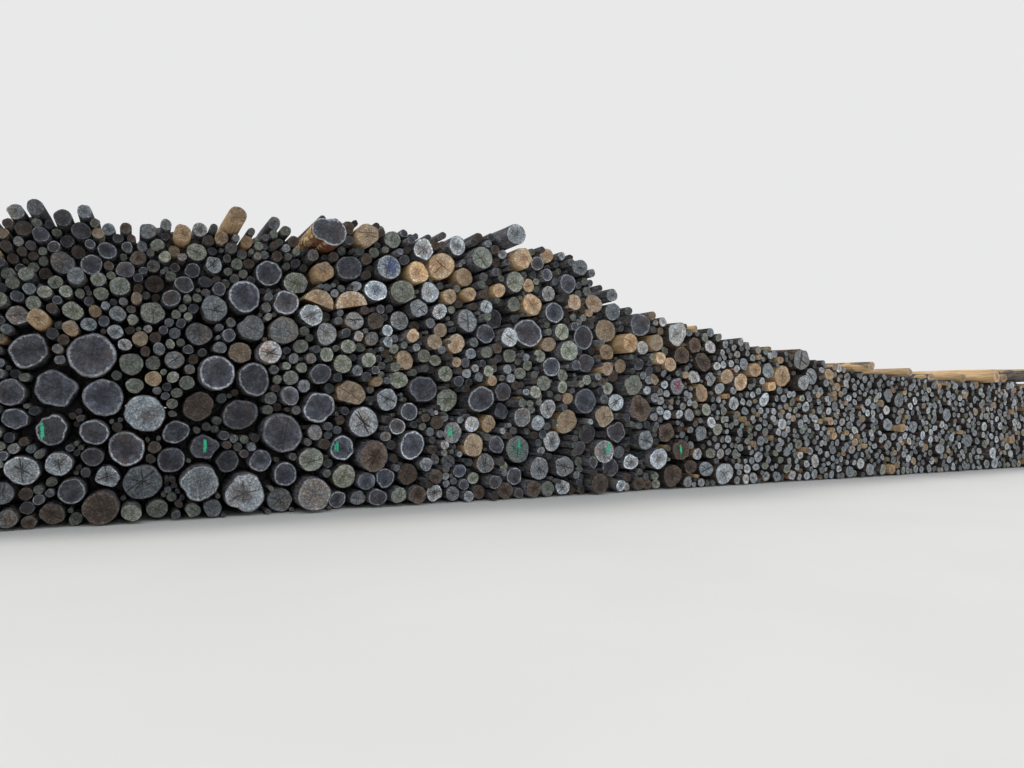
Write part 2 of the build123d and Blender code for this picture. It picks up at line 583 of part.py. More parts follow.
for w in ground:
    fill_ground_to(w.x - w.d / 2.0, 110.0)
    ground_log(Log(w.d, w.look, make_front(w.x, w.z, w.key)))
    waiting.remove(w)
fill_ground_to(RIGHT_TOE, 110.0)

# All further courses, in bands of height
BAND = 80.0
COLUMN = 85.0
COLUMN_COUNT = int((RIGHT_TOE - LEFT_TOE) / COLUMN) + 1
columns = [LEFT_TOE + COLUMN * i for i in range(COLUMN_COUNT)]
surface = [0.0] * len(columns)
seen = 0


def update_surface():
    """Keep the height of the logs above each place along the row."""
    global seen
    for log in placed[seen:]:
        r = min(log.ra, log.rb)
        first = max(0, int((log.x - r - LEFT_TOE) // COLUMN))
        final = min(len(columns) - 1, int((log.x + r - LEFT_TOE) // COLUMN) + 1)
        for i in range(first, final + 1):
            dx = abs(columns[i] - log.x)
            if dx < r:
                surface[i] = max(surface[i], log.z + math.sqrt(r * r - dx * dx))
    seen = len(placed)


def place_wishes(height, span_share, least_span):
    for w in list(waiting):
        if w.z - w.d / 2.0 > height:
            break
        if try_wish(w, max(least_span, span_share * w.d)):
            waiting.remove(w)


def fill_band(height):
    """Set filling logs into the pockets whose log would stay under a height."""
    for attempt in range(3):
        update_surface()
        order = [i for i in range(len(columns))
                 if surface[i] < min(height, top_at(columns[i])) - 60.0]
        rng.shuffle(order)
        for i in order:
            x = columns[i]
            if surface[i] > min(height, top_at(x)) - 60.0:
                continue
            limit = min(height, top_at(x))
            d = filler_size(x, limit)
            log = Log(d, filler_look(x, limit, d), make_front(x, limit))
            middle = surface[i] + 0.3 * d
            found = [p for p in pockets(log, x, middle, 170.0 + 0.5 * d, 120.0,
                                        height - 0.3 * log.ra)
                     if p[1] + 0.9 * log.ra < top_at(p[0])
                     and keeps_off(p[0], p[1], log.ra)]
            if found:
                px, pz = min(found, key=lambda p: p[1])
                put(log, px, pz)
                update_surface()


height = 150.0
while height < 4700.0:
    place_wishes(height, 0.30, 70.0)
    for split in list(splits_to_come):
        if split[1] < height and put_split(*split):
            splits_to_come.remove(split)
        elif split[1] < height - SPLIT_PATIENCE:
            splits_to_come.remove(split)
    if fork_to_come and FORK_PLACE[1] - FORK_STEMS[0] / 2.0 < height:
        fork_to_come = not put_fork(*FORK_PLACE) and height < FORK_PLACE[1] + 330.0
    fill_band(height)
    place_wishes(height - 250.0, 0.55, 110.0)
    height += BAND

dropped = []
for w in list(waiting):
    if not try_wish(w, max(160.0, 0.75 * w.d)):
        dropped.append(w)
waiting = []


def clearance(x, z):
    """How far a place is from the bark of the nearest log."""
    return min((math.hypot(log.x - x, log.z - z) - log.thick for log in near(x, z, 420.0)),
               default=420.0)


# Thin logs in the gaps that are left inside
x = READ_FROM - 2600.0
while x < POLES_FROM + 1500.0:
    z = 60.0
    while z < top_at(x) - 150.0:
        clear = clearance(x, z)
        if clear > GAP_LOG_MIN / 2.0:
            for share in (1.9, 1.6, 1.3):
                d = min(GAP_LOG_MAX, max(GAP_LOG_MIN, share * clear))
                log = Log(d, filler_look(x, z, d), make_front(x, z) + rng.uniform(0.0, 60.0))
                found = pockets(log, x, z, 40.0 + 0.5 * d)
                if found:
                    put(log, *min(found, key=lambda p: p[1]))
                    break
        z += 30.0
    x += 30.0

# Looks and bays give each log its node
BAY_EDGES = [0.0, 2500.0, 4600.0, 6600.0, 8400.0]
POLE_BAY_EDGES = [11500.0, 14500.0, 17500.0]
NAMES = {"D": "dark", "G": "grey", "P": "pale", "T": "tan", "M": "mossy", "B": "brown"}


def node_of(log):
    if log.x < BAY_EDGES[-1]:
        bay = 1 + sum(log.x > edge for edge in BAY_EDGES[:-1])
        return f"{NAMES[log.look]}_logs_bay_{bay}"
    bay = 6 + sum(log.x > edge for edge in POLE_BAY_EDGES)
    look = {"G": "P", "D": "B"}.get(log.look, log.look)
    return f"{NAMES[look]}_poles_bay_{bay}"


lowest_x = min(log.x - log.thick for log in placed)
highest_x = max(log.x + log.thick for log in placed)
first_y = min(log.front for log in placed)
last_y = max(log.front + log.length for log in placed)
shift_x = (lowest_x + highest_x) / 2.0
shift_y = (first_y + last_y) / 2.0

groups = {}
for log in placed:
    if log.kind == "whole":
        groups.setdefault(node_of(log), []).append(log)
    elif log.kind == "split":
        groups.setdefault("split_logs", []).append(log)
    elif log.kind == "fork":
        groups.setdefault("forked_log", []).append(log)


def log_solid(log):
    """One log, turned from its side line, lying along Y, sawn end at its place."""
    axis_plane = Plane(origin=(log.x - shift_x, log.front - shift_y, log.z),
                       x_dir=(1, 0, 0), z_dir=(0, 0, 1))
    with BuildPart() as stem:
        with BuildSketch(axis_plane):
            with BuildLine():
                Polyline((log.ra, 0), (log.rb, log.length), (0, log.length), (0, 0), close=True)
            make_face()
        revolve(axis=Axis(axis_plane.origin, (0, 1, 0)))
    return stem.part.solids()[0]


def split_solid(log):
    """Half a log, its flat side down and leaning as the logs below it carry it."""
    face_plane = Plane(origin=(log.x - shift_x, log.front - shift_y, log.z),
                       x_dir=(math.cos(log.turn), 0, math.sin(log.turn)), z_dir=(0, -1, 0))
    with BuildPart() as half:
        with BuildSketch(face_plane):
            with BuildLine():
                CenterArc((0, 0), log.ra, 0, 180)
                Line((-log.ra, 0), (log.ra, 0))
            make_face()
        extrude(amount=-log.length)
    return half.part.solids()[0]


def fork_solid(log):
    """The forked log: two stems that stand apart at the sawn end and close up behind."""
    ax, az = log.lean
    with BuildPart() as fork:
        for y, apart, big, small in ((log.front, FORK_SPREAD, log.ra, log.second.ra),
                                     (log.back, FORK_SPREAD_BACK, log.rb, log.second.rb)):
            section = Plane(origin=(log.x - shift_x, y - shift_y, log.z),
                            x_dir=(1, 0, 0), z_dir=(0, -1, 0))
            with BuildSketch(section):
                Circle(big)
                with Locations((apart * ax, apart * az)):
                    Circle(small)
        loft(ruled=True)
    return fork.part.solids()[0]


shapers = {"whole": log_solid, "split": split_solid, "fork": fork_solid}
for name in sorted(groups):
    solids = [shapers[log.kind](log) for log in groups[name]]
    stack = Compound(label=name, children=solids)
    export_step(stack, f"parts/{name}.step")
    print(name, len(solids))
print("logs", len(placed), "dropped", len(dropped), "nodes", len(groups))
print("shift", round(shift_x), round(shift_y), "size", round(highest_x - lowest_x),
      round(last_y - first_y), round(max(log.z + log.thick for log in placed)))
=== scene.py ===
"""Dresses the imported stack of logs: bark, sawn ends, paint strokes, floor and light.

Laid out as an add-on and run as a script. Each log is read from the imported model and
built again on its own middle line, at its own size, with an uneven outline.
"""
import functools
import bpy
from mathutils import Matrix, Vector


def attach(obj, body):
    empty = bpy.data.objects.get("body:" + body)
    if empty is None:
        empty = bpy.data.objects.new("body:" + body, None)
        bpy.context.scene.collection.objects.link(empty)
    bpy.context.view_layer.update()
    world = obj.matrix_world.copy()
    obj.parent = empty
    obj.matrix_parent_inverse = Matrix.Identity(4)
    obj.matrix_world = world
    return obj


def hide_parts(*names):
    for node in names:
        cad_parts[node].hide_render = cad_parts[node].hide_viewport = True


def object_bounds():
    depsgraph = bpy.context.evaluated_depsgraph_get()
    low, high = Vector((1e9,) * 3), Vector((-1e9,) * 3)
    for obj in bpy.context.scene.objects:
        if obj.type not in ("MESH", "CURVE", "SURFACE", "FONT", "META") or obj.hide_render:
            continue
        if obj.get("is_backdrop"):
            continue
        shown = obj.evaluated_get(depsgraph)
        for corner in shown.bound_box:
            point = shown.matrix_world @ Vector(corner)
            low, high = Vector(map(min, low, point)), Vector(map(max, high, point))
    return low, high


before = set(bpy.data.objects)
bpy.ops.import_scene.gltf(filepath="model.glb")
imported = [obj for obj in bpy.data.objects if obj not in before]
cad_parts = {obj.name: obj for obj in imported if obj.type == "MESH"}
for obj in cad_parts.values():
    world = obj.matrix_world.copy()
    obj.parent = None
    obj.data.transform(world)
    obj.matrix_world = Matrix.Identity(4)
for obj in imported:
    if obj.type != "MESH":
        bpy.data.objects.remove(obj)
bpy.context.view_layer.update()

import inspect
import itertools
import math

import bmesh
import bpy
import numpy as np
from mathutils import Vector
from mathutils import noise as mathutils_noise
from mathutils.bvhtree import BVHTree

bl_info = {
    "name": "Stack of Logs",
    "version": (1, 0, 0),
    "blender": (4, 5, 0),
    "location": "3D View > Sidebar > Logs",
    "description": "Builds the logs of a stack with bark, sawn ends and paint strokes",
    "category": "Object",
}

# Where the photograph was taken from, in metres
PHOTO_ZERO_X = -8.215    # the place straight in front of the camera, along the row
FACE_Y = -2.039          # the plane of the sawn ends
CAMERA_DISTANCE = 11.18
CAMERA_HEIGHT = 1.6
CAMERA_TURN = 25.9       # degrees to the right
CAMERA_RISE = 1.19       # degrees upwards
IMAGE_WIDTH = 1024
FOCAL_PIXELS = 769.0
SENSOR = 36.0
CAMERA_FAR = 500.0

# Floor and light
FLOOR_HALF = 150.0
FLOOR_DROP = 0.002       # below the logs, so that the two don't flicker
SKY_LIGHT = (0.97, 1.0, 1.03)
SKY_STRENGTH = 0.96
SUN_ENERGY = 1.6
SUN_ANGLE = 18.0         # degrees; wide, for soft shadows
SUN_COLOUR = (1.0, 0.97, 0.92)
SUN_WAY = (0.65, -0.24, -0.72)

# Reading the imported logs
POINT_ROUNDING = 10000.0                # points within a tenth of a millimetre are one
KEY = 1000003            # makes one number of three rounded coordinates
PLACE_PRIMES = (73856093, 19349663)     # make a chance number of a log's place
END_TOLERANCE = 2e-4     # how far a log's end points may lie from its end plane

# Round logs by size: least radius, then sides, rings on the front end, rows along the
# side and rings on the back end
BLANKS = ((0.0, 12, 2, 3, 2), (0.1, 20, 3, 6, 3), (0.15, 32, 5, 9, 3))
RING_CROWDING = 0.85     # power that moves the rings of an end towards its edge
SEAM_WIDTH = 0.0005      # points of a blank that lie closer are merged
POLES_UNEVEN = 1.5       # poles are this much more uneven than logs
BAY_GROUPS = (("logs", (1, 2)), ("logs", (3, 4)), ("logs", (5,)),
              ("poles", (6, 7)), ("poles", (8, 9)))

# Painted shade: where the mean radius of the logs beside a log, in radii of its own,
# is more than the first value, it counts as buried, and fully so past the range after it
BURIED_FROM, BURIED_RANGE = 1.25, 1.1
BESIDE_GAP = 0.05        # logs with at most this gap between them lie beside each other
DAMP_BRIGHTNESS = 0.42   # of a fully darkened end
DAMP_FROM_X, DAMP_FADE = -4.5, 2.5      # the left of the row is darker, over this stretch
DAMP_LEFT = 0.45

# Logs that aren't round
ODD_DIP, ODD_FINE_DIP = 0.06, 0.02      # how far an outline dips in, as shares
ODD_STEPS = 0.012        # mean depth and height of the steps that the saw left
ODD_SCALE, ODD_FINE_SCALE, ODD_STEP_SCALE = 1.6, 6.0, 9.0       # of the noise for each

# The split logs: shares of the radius, and corners round the half circle
SPLIT_CENTRE = 0.42      # where the rings are drawn round, above the flat side
SPLIT_PITH = 0.1         # how high above the flat side the pith lies
SPLIT_CORNERS, SPLIT_FLAT_CORNERS = 52, 14

# The forked log: radii of its stems and how far apart they stand, front and back
FORK_RADII = (0.195, 0.16, 0.15)
FORK_LOSS = 0.016        # how much thinner the stems are at the back
FORK_CLOSE = 0.045
FORK_CORNERS = 72

# Dark lumps deep in the gaps: painted shade, which also keeps light from coming through
GAP_SIDES = 8            # corners of a lump
GAP_STEP = 0.03          # of the grid on which gaps are looked for
GAP_SEARCH = 0.4         # the grid is filled this far round each log
GAP_CLEAR = (0.006, 0.3)                # least and most room round a gap's middle
GAP_REACH = 0.45         # a gap with no log within this distance on some side is open
OPEN = 9.0               # stands for no log at all, in metres
LITTER_DEPTH = 0.62      # behind the plane of the ends, so that no light comes through
LITTER_STAGGER = 0.2
LITTER_BACK = 0.6        # least distance to the back ends
LITTER_HEIGHT = 0.002    # least height above the ground
LITTER_WAVE = 0.02       # how far its corners lie in front of or behind its rings
LITTER_GROWTH = ((1.3, 0.07), (3.0, 0.03))      # a lump is as wide as the smaller of
                         # these: this many times its gap, and this much more
LITTER_RINGS = ((0.35, 0.0), (1.0, 0.06), (1.0, 0.32), (0.3, 0.40))     # share, depth

# Sprayed strokes
STROKE_FACES = (4, 8)    # across and along
STROKE_START = 0.6       # how far in front of an end the strokes are laid on from
INWARDS = Vector((0.0, 1.0, 0.0))
FRONT_DEPTH = 0.4        # what lies deeper than this behind an end carries no stroke
STROKE_DEPTHS = (-0.0015, 0.006)        # front and back of the strip, from the sawn end
HAZE_FROM = 0.9          # a stroke wider than this share of its height is a thin haze
HAZE = 0.1               # how much a haze covers

# Where an end with strokes shows in the photograph, in metres along and above the
# ground, then place on the end, width, height, turn in degrees and curve of each stroke
STROKES = {
    "green": (
        ((-0.905, 1.165), (((-0.45, 0.0), 1.0, 0.9, 4, 0.0),)),
        ((0.825, 1.020), (((0.0, 0.05), 1.0, 0.95, 0, 0.05),)),
        ((2.600, 0.930), (
         ((-0.35, 0.1), 0.8, 0.8, 2, 0.0), ((-0.5, 0.0), 0.7, 0.6, 0, 0.0))),
        ((4.290, 1.157), (
         ((-0.3, 0.1), 0.8, 0.9, -3, 0.0), ((-0.1, 0.05), 0.8, 0.8, 2, 0.0))),
        ((5.700, 0.830), (
         ((0.1, 0.35), 1.2, 0.7, 0, 0.0), ((0.0, -0.1), 6.5, 1.1, 8, 0.0))),
        ((7.214, 0.643), (((0.3, 0.3), 1.6, 0.8, -12, 0.1),)),
        ((8.843, 0.700), (((0.0, 0.1), 1.0, 0.8, 6, 0.0),)),
        ((10.200, 1.070), (((0.0, 0.0), 1.0, 0.9, -4, 0.0),)),
    ),
    "blue": (
        ((3.360, 3.670), (
         ((0.05, 0.3), 0.36, 0.9, 38, 0.3), ((0.35, 0.1), 0.36, 1.0, -52, -0.3),
         ((0.15, -0.1), 0.36, 1.1, 20, 0.4), ((0.4, -0.2), 0.36, 0.9, -28, 0.2),
         ((0.3, 0.45), 0.36, 0.8, 78, 0.2), ((0.5, 0.0), 0.36, 0.8, 8, -0.3),
         ((0.2, -0.5), 0.36, 0.7, 66, -0.2), ((-0.1, 0.05), 0.32, 0.7, -12, 0.2),
         ((0.3, -0.3), 0.36, 0.8, 48, 0.0))),
        ((3.165, 3.210), (
         ((-0.2, 0.1), 0.3, 0.6, 20, 0.1), ((0.05, -0.05), 0.3, 0.7, -30, -0.2),
         ((0.25, 0.1), 0.3, 0.5, 50, 0.1), ((0.1, 0.35), 0.3, 0.5, 80, 0.0),
         ((-0.05, -0.35), 0.3, 0.5, 70, 0.1))),
    ),
    "red": (
        ((8.730, 1.907), (
         ((-0.2, 0.1), 0.52, 0.9, 30, 0.1), ((0.1, 0.0), 0.52, 0.8, -40, 0.0),
         ((0.3, 0.2), 0.52, 0.8, 22, -0.2), ((-0.1, -0.3), 0.52, 0.8, 75, 0.2),
         ((0.1, 0.45), 0.52, 0.7, -70, 0.1))),
    ),
}

# Vectors and colours that formulas use
HALF = (0.5, 0.5, 0.5)
ACROSS = (1.0, 0.0, 1.0)                # keeps what lies across a log
FAR = 1000.0             # beyond everything, in metres
GOLDEN_TURN = 2.399      # radians; spreads directions evenly over the seeds
# the way that the forked log's painted shade faces: down, and away from the sun
UNDERSIDE = (0.55, 0.0, -0.83)
RING_SHADE = (0.5, 0.47, 0.45)
CHECK_COLOUR = (0.006, 0.005, 0.005)


def srgb(code):
    """A colour written as six hexadecimal digits, as linear values."""
    parts = [int(code[i:i + 2], 16) / 255.0 for i in (0, 2, 4)]
    return tuple(c / 12.92 if c <= 0.04045 else ((c + 0.055) / 1.055) ** 2.4
                 for c in parts)


# Sizes and colours that a user would change

def size(name, text, default, low, high, unit="NONE"):
    return bpy.props.FloatProperty(name=name, description=text, default=default,
                                   min=low, max=high, unit=unit)


def colour(name, text, code):
    return bpy.props.FloatVectorProperty(name=name, description=text, subtype="COLOR",
                                         size=3, min=0.0, max=1.0, default=srgb(code))


class LogStackSizes(bpy.types.PropertyGroup):
    """Sizes of the logs' uneven forms"""
    rim: size("Rim", "Broken edge of a sawn end, as a share of the radius",
              0.035, 0.005, 0.2)
    uneven: size("Unevenness", "How far an outline dips in, as a share of the radius",
                 0.12, 0.0, 0.3)
    tilt: size("Saw Tilt", "How far a saw cut leans, as a slope", 0.16, 0.0, 0.5)
    ripple: size("Saw Ripple", "Height of the steps that the saw left",
                 0.010, 0.0, 0.05, "LENGTH")
    bow: size("Bow", "How far a log bends at half its length, as a share of it",
              0.005, 0.0, 0.03)
    stroke_width: size("Stroke Width", "Width of a sprayed stroke",
                       0.058, 0.005, 0.2, "LENGTH")


class LogStackColours(bpy.types.PropertyGroup):
    """Colours of the sawn ends, the bark and the strokes"""
    # the dark, grey and pale end colours and the bark colours lean blue: a painted blue
    # cast of sky shade
    dark_end: colour("Dark End", "Weathered slate-dark end wood", "343843")
    grey_end: colour("Grey End", "Grey weathered end wood", "626b73")
    pale_end: colour("Pale End", "Bleached end wood", "868f97")
    tan_end: colour("Tan End", "Younger cut, still tan", "84725f")
    mossy_end: colour("Mossy End", "Greenish end wood", "666b66")
    brown_end: colour("Brown End", "Rotting brown end wood", "463d39")
    bark: colour("Bark", "Ridges of the bark", "616268")
    fissure: colour("Fissure", "Grooves of the bark", "2c2f3a")
    bare_wood: colour("Bare Wood", "Wood where the bark came off", "8a755b")
    moss: colour("Moss", "Moss and algae", "656a54")
    green_paint: colour("Green Paint", "Sprayed green strokes", "42d0a0")
    blue_paint: colour("Blue Paint", "Sprayed blue scribble", "4c639c")
    red_paint: colour("Red Paint", "Sprayed red strokes", "b03550")
    floor: colour("Floor", "Plain pale floor", "cecdcb")


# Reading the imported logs

def read(items, key, width, kind):
    """One value of each of a mesh's items, as rows of an array."""
    flat = np.empty(len(items) * width, kind)
    items.foreach_get(key, flat)
    return flat.reshape(-1, width)


def points_and_triangles(mesh):
    mesh.calc_loop_triangles()
    return (read(mesh.vertices, "co", 3, np.float32),
            read(mesh.loop_triangles, "vertices", 3, np.int32))


def solids_of(node):
    """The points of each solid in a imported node, as one array for each."""
    places, corners = points_and_triangles(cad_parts[node].data)
    rounded = np.round(places * POINT_ROUNDING).astype(np.int64)
    code = (rounded[:, 0] * KEY + rounded[:, 1]) * KEY + rounded[:, 2]
    _, first, same = np.unique(code, return_index=True, return_inverse=True)
    points = places[first].astype(float)
    triangles = same[corners].reshape(-1, 3)
    label = np.arange(len(points))
    while True:
        low = label[triangles].min(axis=1)
        new = label.copy()
        for side in range(3):
            np.minimum.at(new, triangles[:, side], low)
        new = new[new]
        if (new == label).all():
            break
        label = new
    order = np.argsort(label, kind="stable")
    return [points[group]
            for group in np.split(order, np.nonzero(np.diff(label[order]))[0] + 1)]


def end_points(part, y):
    return part[np.abs(part[:, 1] - y) < END_TOLERANCE]


def logs_of(node):
    """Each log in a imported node: x, front y, z, front radius, back radius, length."""
    found = []
    for part in solids_of(node):
        front, back = part[:, 1].min(), part[:, 1].max()
        row = []
        for y in (front, back):
            ring = end_points(part, y)
            low, high = ring.min(axis=0), ring.max(axis=0)
            row.append(((low + high) / 2.0, (high[0] - low[0]) / 2.0))
        (middle, front_radius), (_, back_radius) = row
        found.append((middle[0], front, middle[2], front_radius, back_radius, back - front))
    return sorted(found)


LOGS_IN = {name: logs_of(name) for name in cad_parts
           if "_logs_bay_" in name or "_poles_bay_" in name}
ALL_LOGS = [(x, z, radius) for logs in LOGS_IN.values() for x, _, z, radius, *_ in logs]


def seed_of(x, z):
    """A number from 0 to 100 that belongs to a log's place."""
    a, b = (round(at * 200) * prime for at, prime in zip((x, z), PLACE_PRIMES))
    return (a ^ b) % 9973 / 99.73


# Formulas for node trees: a field stands for a node's output, and each step adds a node

class Field:
    """A node's output, ready for a formula"""

    def __init__(self, tree, socket):
        self.tree, self.socket = tree, socket


def tree_of(*values):
    return next(value.tree for value in values if isinstance(value, Field))


def maths(operation, a, b=0.0, clamp=False):
    return put(tree_of(a, b), "ShaderNodeMath", {0: a, 1: b}, operation=operation,
               use_clamp=clamp)[0]


def vector_maths(operation, a, b=(0, 0, 0)):
    second = "Scale" if operation == "SCALE" else 1
    out = "Value" if operation in ("LENGTH", "DOT_PRODUCT") else "Vector"
    return put(a.tree, "ShaderNodeVectorMath", {0: a, second: b}, operation=operation)[out]


def step(calculate, operation, turned=False):
    """A step of a formula, which adds the node of one operation."""
    def method(*values):
        return calculate(operation, *(reversed(values) if turned else values))
    return method


class Number(Field):
    """A single value in a formula"""
    __add__ = __radd__ = step(maths, "ADD")
    __mul__ = __rmul__ = step(maths, "MULTIPLY")
    __sub__, __rsub__ = step(maths, "SUBTRACT"), step(maths, "SUBTRACT", turned=True)
    __truediv__, __rtruediv__ = step(maths, "DIVIDE"), step(maths, "DIVIDE", turned=True)
    __pow__ = step(maths, "POWER")
    __abs__ = step(maths, "ABSOLUTE")


class Triple(Field):
    """A vector or a colour in a formula"""
    __add__ = step(vector_maths, "ADD")
    __sub__ = step(vector_maths, "SUBTRACT")
    dot = step(vector_maths, "DOT_PRODUCT")
    length = step(vector_maths, "LENGTH")
    unit = step(vector_maths, "NORMALIZE")

    def __mul__(self, other):
        by_parts = isinstance(other, (tuple, Triple))
        return vector_maths("MULTIPLY" if by_parts else "SCALE", self, other)


class Outputs:
    """A node's outputs, as fields by name or number"""

    def __init__(self, tree, sockets):
        self.tree, self.sockets = tree, sockets

    def __getitem__(self, key):
        named = isinstance(key, str)
        socket = usable(self.sockets, key) if named else self.sockets[key]
        kind = Triple if socket.type in ("VECTOR", "RGBA") else Number
        return kind(self.tree, socket)


def usable(sockets, name):
    return next(s for s in sockets if s.name == name and s.enabled)


def feed(socket, value):
    """Gives a socket a field or a plain value; a colour may lack its alpha."""
    if isinstance(value, Field):
        value.tree.links.new(value.socket, socket)
    elif socket.type == "RGBA":
        socket.default_value = (*value[:3], 1.0)
    else:
        socket.default_value = value


def put(tree, kind, inputs=None, **settings):
    """Adds a node, with its settings and its inputs by name or number."""
    node = tree.nodes.new(kind)
    for key, value in settings.items():
        setattr(node, key, value)
    for key, value in (inputs or {}).items():
        feed(usable(node.inputs, key) if isinstance(key, str) else node.inputs[key], value)
    return Outputs(tree, node.outputs)


def split(vector):
    parts = put(vector.tree, "ShaderNodeSeparateXYZ", {0: vector})
    return parts[0], parts[1], parts[2]


def joined(x, y, z):
    return put(tree_of(x, y, z), "ShaderNodeCombineXYZ", {0: x, 1: y, 2: z})[0]


def ramp(value, low, high, out_low=0.0, out_high=1.0):
    """A smooth step from one value to another."""
    return put(value.tree, "ShaderNodeMapRange",
               {"Value": value, "From Min": low, "From Max": high,
                "To Min": out_low, "To Max": out_high}, interpolation_type="SMOOTHSTEP")[0]


def noise(vector, scale, detail=2.0, rough=0.5, w=None, distortion=0.0):
    own = {} if w is None else {"W": w}
    return put(vector.tree, "ShaderNodeTexNoise",
               {"Vector": vector, "Scale": scale, "Detail": detail, "Roughness": rough,
                "Distortion": distortion, **own},
               noise_dimensions="3D" if w is None else "4D")[0]


def chance(seed, number=0.0):
    """A chance value and a chance colour that belong to a seed."""
    own = seed + number if number else seed
    return put(seed.tree, "ShaderNodeTexWhiteNoise", {"W": own}, noise_dimensions="1D")


def mix(share, a, b, blend="MIX"):
    """Mixes two colours; each is a field or three linear values."""
    return put(tree_of(share, a, b), "ShaderNodeMix", {0: share, 6: a, 7: b},
               data_type="RGBA", blend_type=blend, clamp_factor=True)[2]


def tree_sockets(tree, inputs, outputs):
    """Gives a tree its sockets: for each name a default value or a kind of socket."""
    for way, sockets in (("INPUT", inputs), ("OUTPUT", outputs)):
        for name, value in sockets.items():
            kind = value if isinstance(value, str) else type(value).__name__.title()
            socket = tree.interface.new_socket(name, in_out=way,
                                               socket_type=f"NodeSocket{kind}")
            if kind != value:
                socket.default_value = value
    given = tree.nodes.new("NodeGroupInput").outputs
    return Outputs(tree, given), tree.nodes.new("NodeGroupOutput").inputs


def attribute(tree, name, kind="FLOAT"):
    return put(tree, "GeometryNodeInputNamedAttribute", {"Name": name},
               data_type=kind)["Attribute"]


def stored(geometry, name, value):
    kind = "FLOAT_VECTOR" if isinstance(value, Triple) else "FLOAT"
    return put(geometry.tree, "GeometryNodeStoreNamedAttribute",
               {"Geometry": geometry, "Name": name, "Value": value},
               data_type=kind, domain="POINT")[0]


# The log as Geometry Nodes

def blank_tree():
    """A closed round blank, one unit long and in radius: end, rim, side, rim, end."""
    tree = bpy.data.node_groups.new("Log Blank", "GeometryNodeTree")
    given, out = tree_sockets(
        tree, {"Sides": 12, "Face Rings": 2, "Side Rows": 3, "Back Rings": 2, "Rim": 0.035},
        {"Mesh": "Geometry"})
    face_rings, side_rows, back_rings = (
        given[name] for name in ("Face Rings", "Side Rows", "Back Rings"))
    rows = (face_rings + 1.0) + (side_rows + back_rings)
    grid = put(tree, "GeometryNodeMeshGrid",
               {"Size X": 1.0, "Size Y": 1.0, "Vertices X": given["Sides"] + 1.0,
                "Vertices Y": rows})["Mesh"]
    x, y, _ = split(put(tree, "GeometryNodeInputPosition")[0])
    angle = (x + 0.5) * (-2.0 * math.pi)
    row = maths("ROUND", (y + 0.5) * (rows - 1.0))
    front = maths("DIVIDE", row, face_rings, clamp=True) ** RING_CROWDING
    past_front = row - (face_rings + 1.0)
    along = maths("DIVIDE", past_front, side_rows - 1.0, clamp=True)
    past_side = past_front - side_rows
    back = 1.0 - maths("DIVIDE", past_side, back_rings - 1.0, clamp=True)
    on_front = maths("LESS_THAN", past_front, -0.5)
    on_back = maths("GREATER_THAN", past_side, -0.5)
    on_side = 1.0 - (on_front + on_back)
    out_from_pith = on_side + (1.0 - given["Rim"]) * (on_front * front + on_back * back)
    unit = joined(out_from_pith * maths("COSINE", angle), along,
                  out_from_pith * maths("SINE", angle))
    moved = put(tree, "GeometryNodeSetPosition", {"Geometry": grid, "Position": unit})[0]
    merged = put(tree, "GeometryNodeMergeByDistance",
                 {"Geometry": moved, "Distance": SEAM_WIDTH})[0]
    feed(out["Mesh"], stored(merged, "unit", put(tree, "GeometryNodeInputPosition")[0]))
    return tree


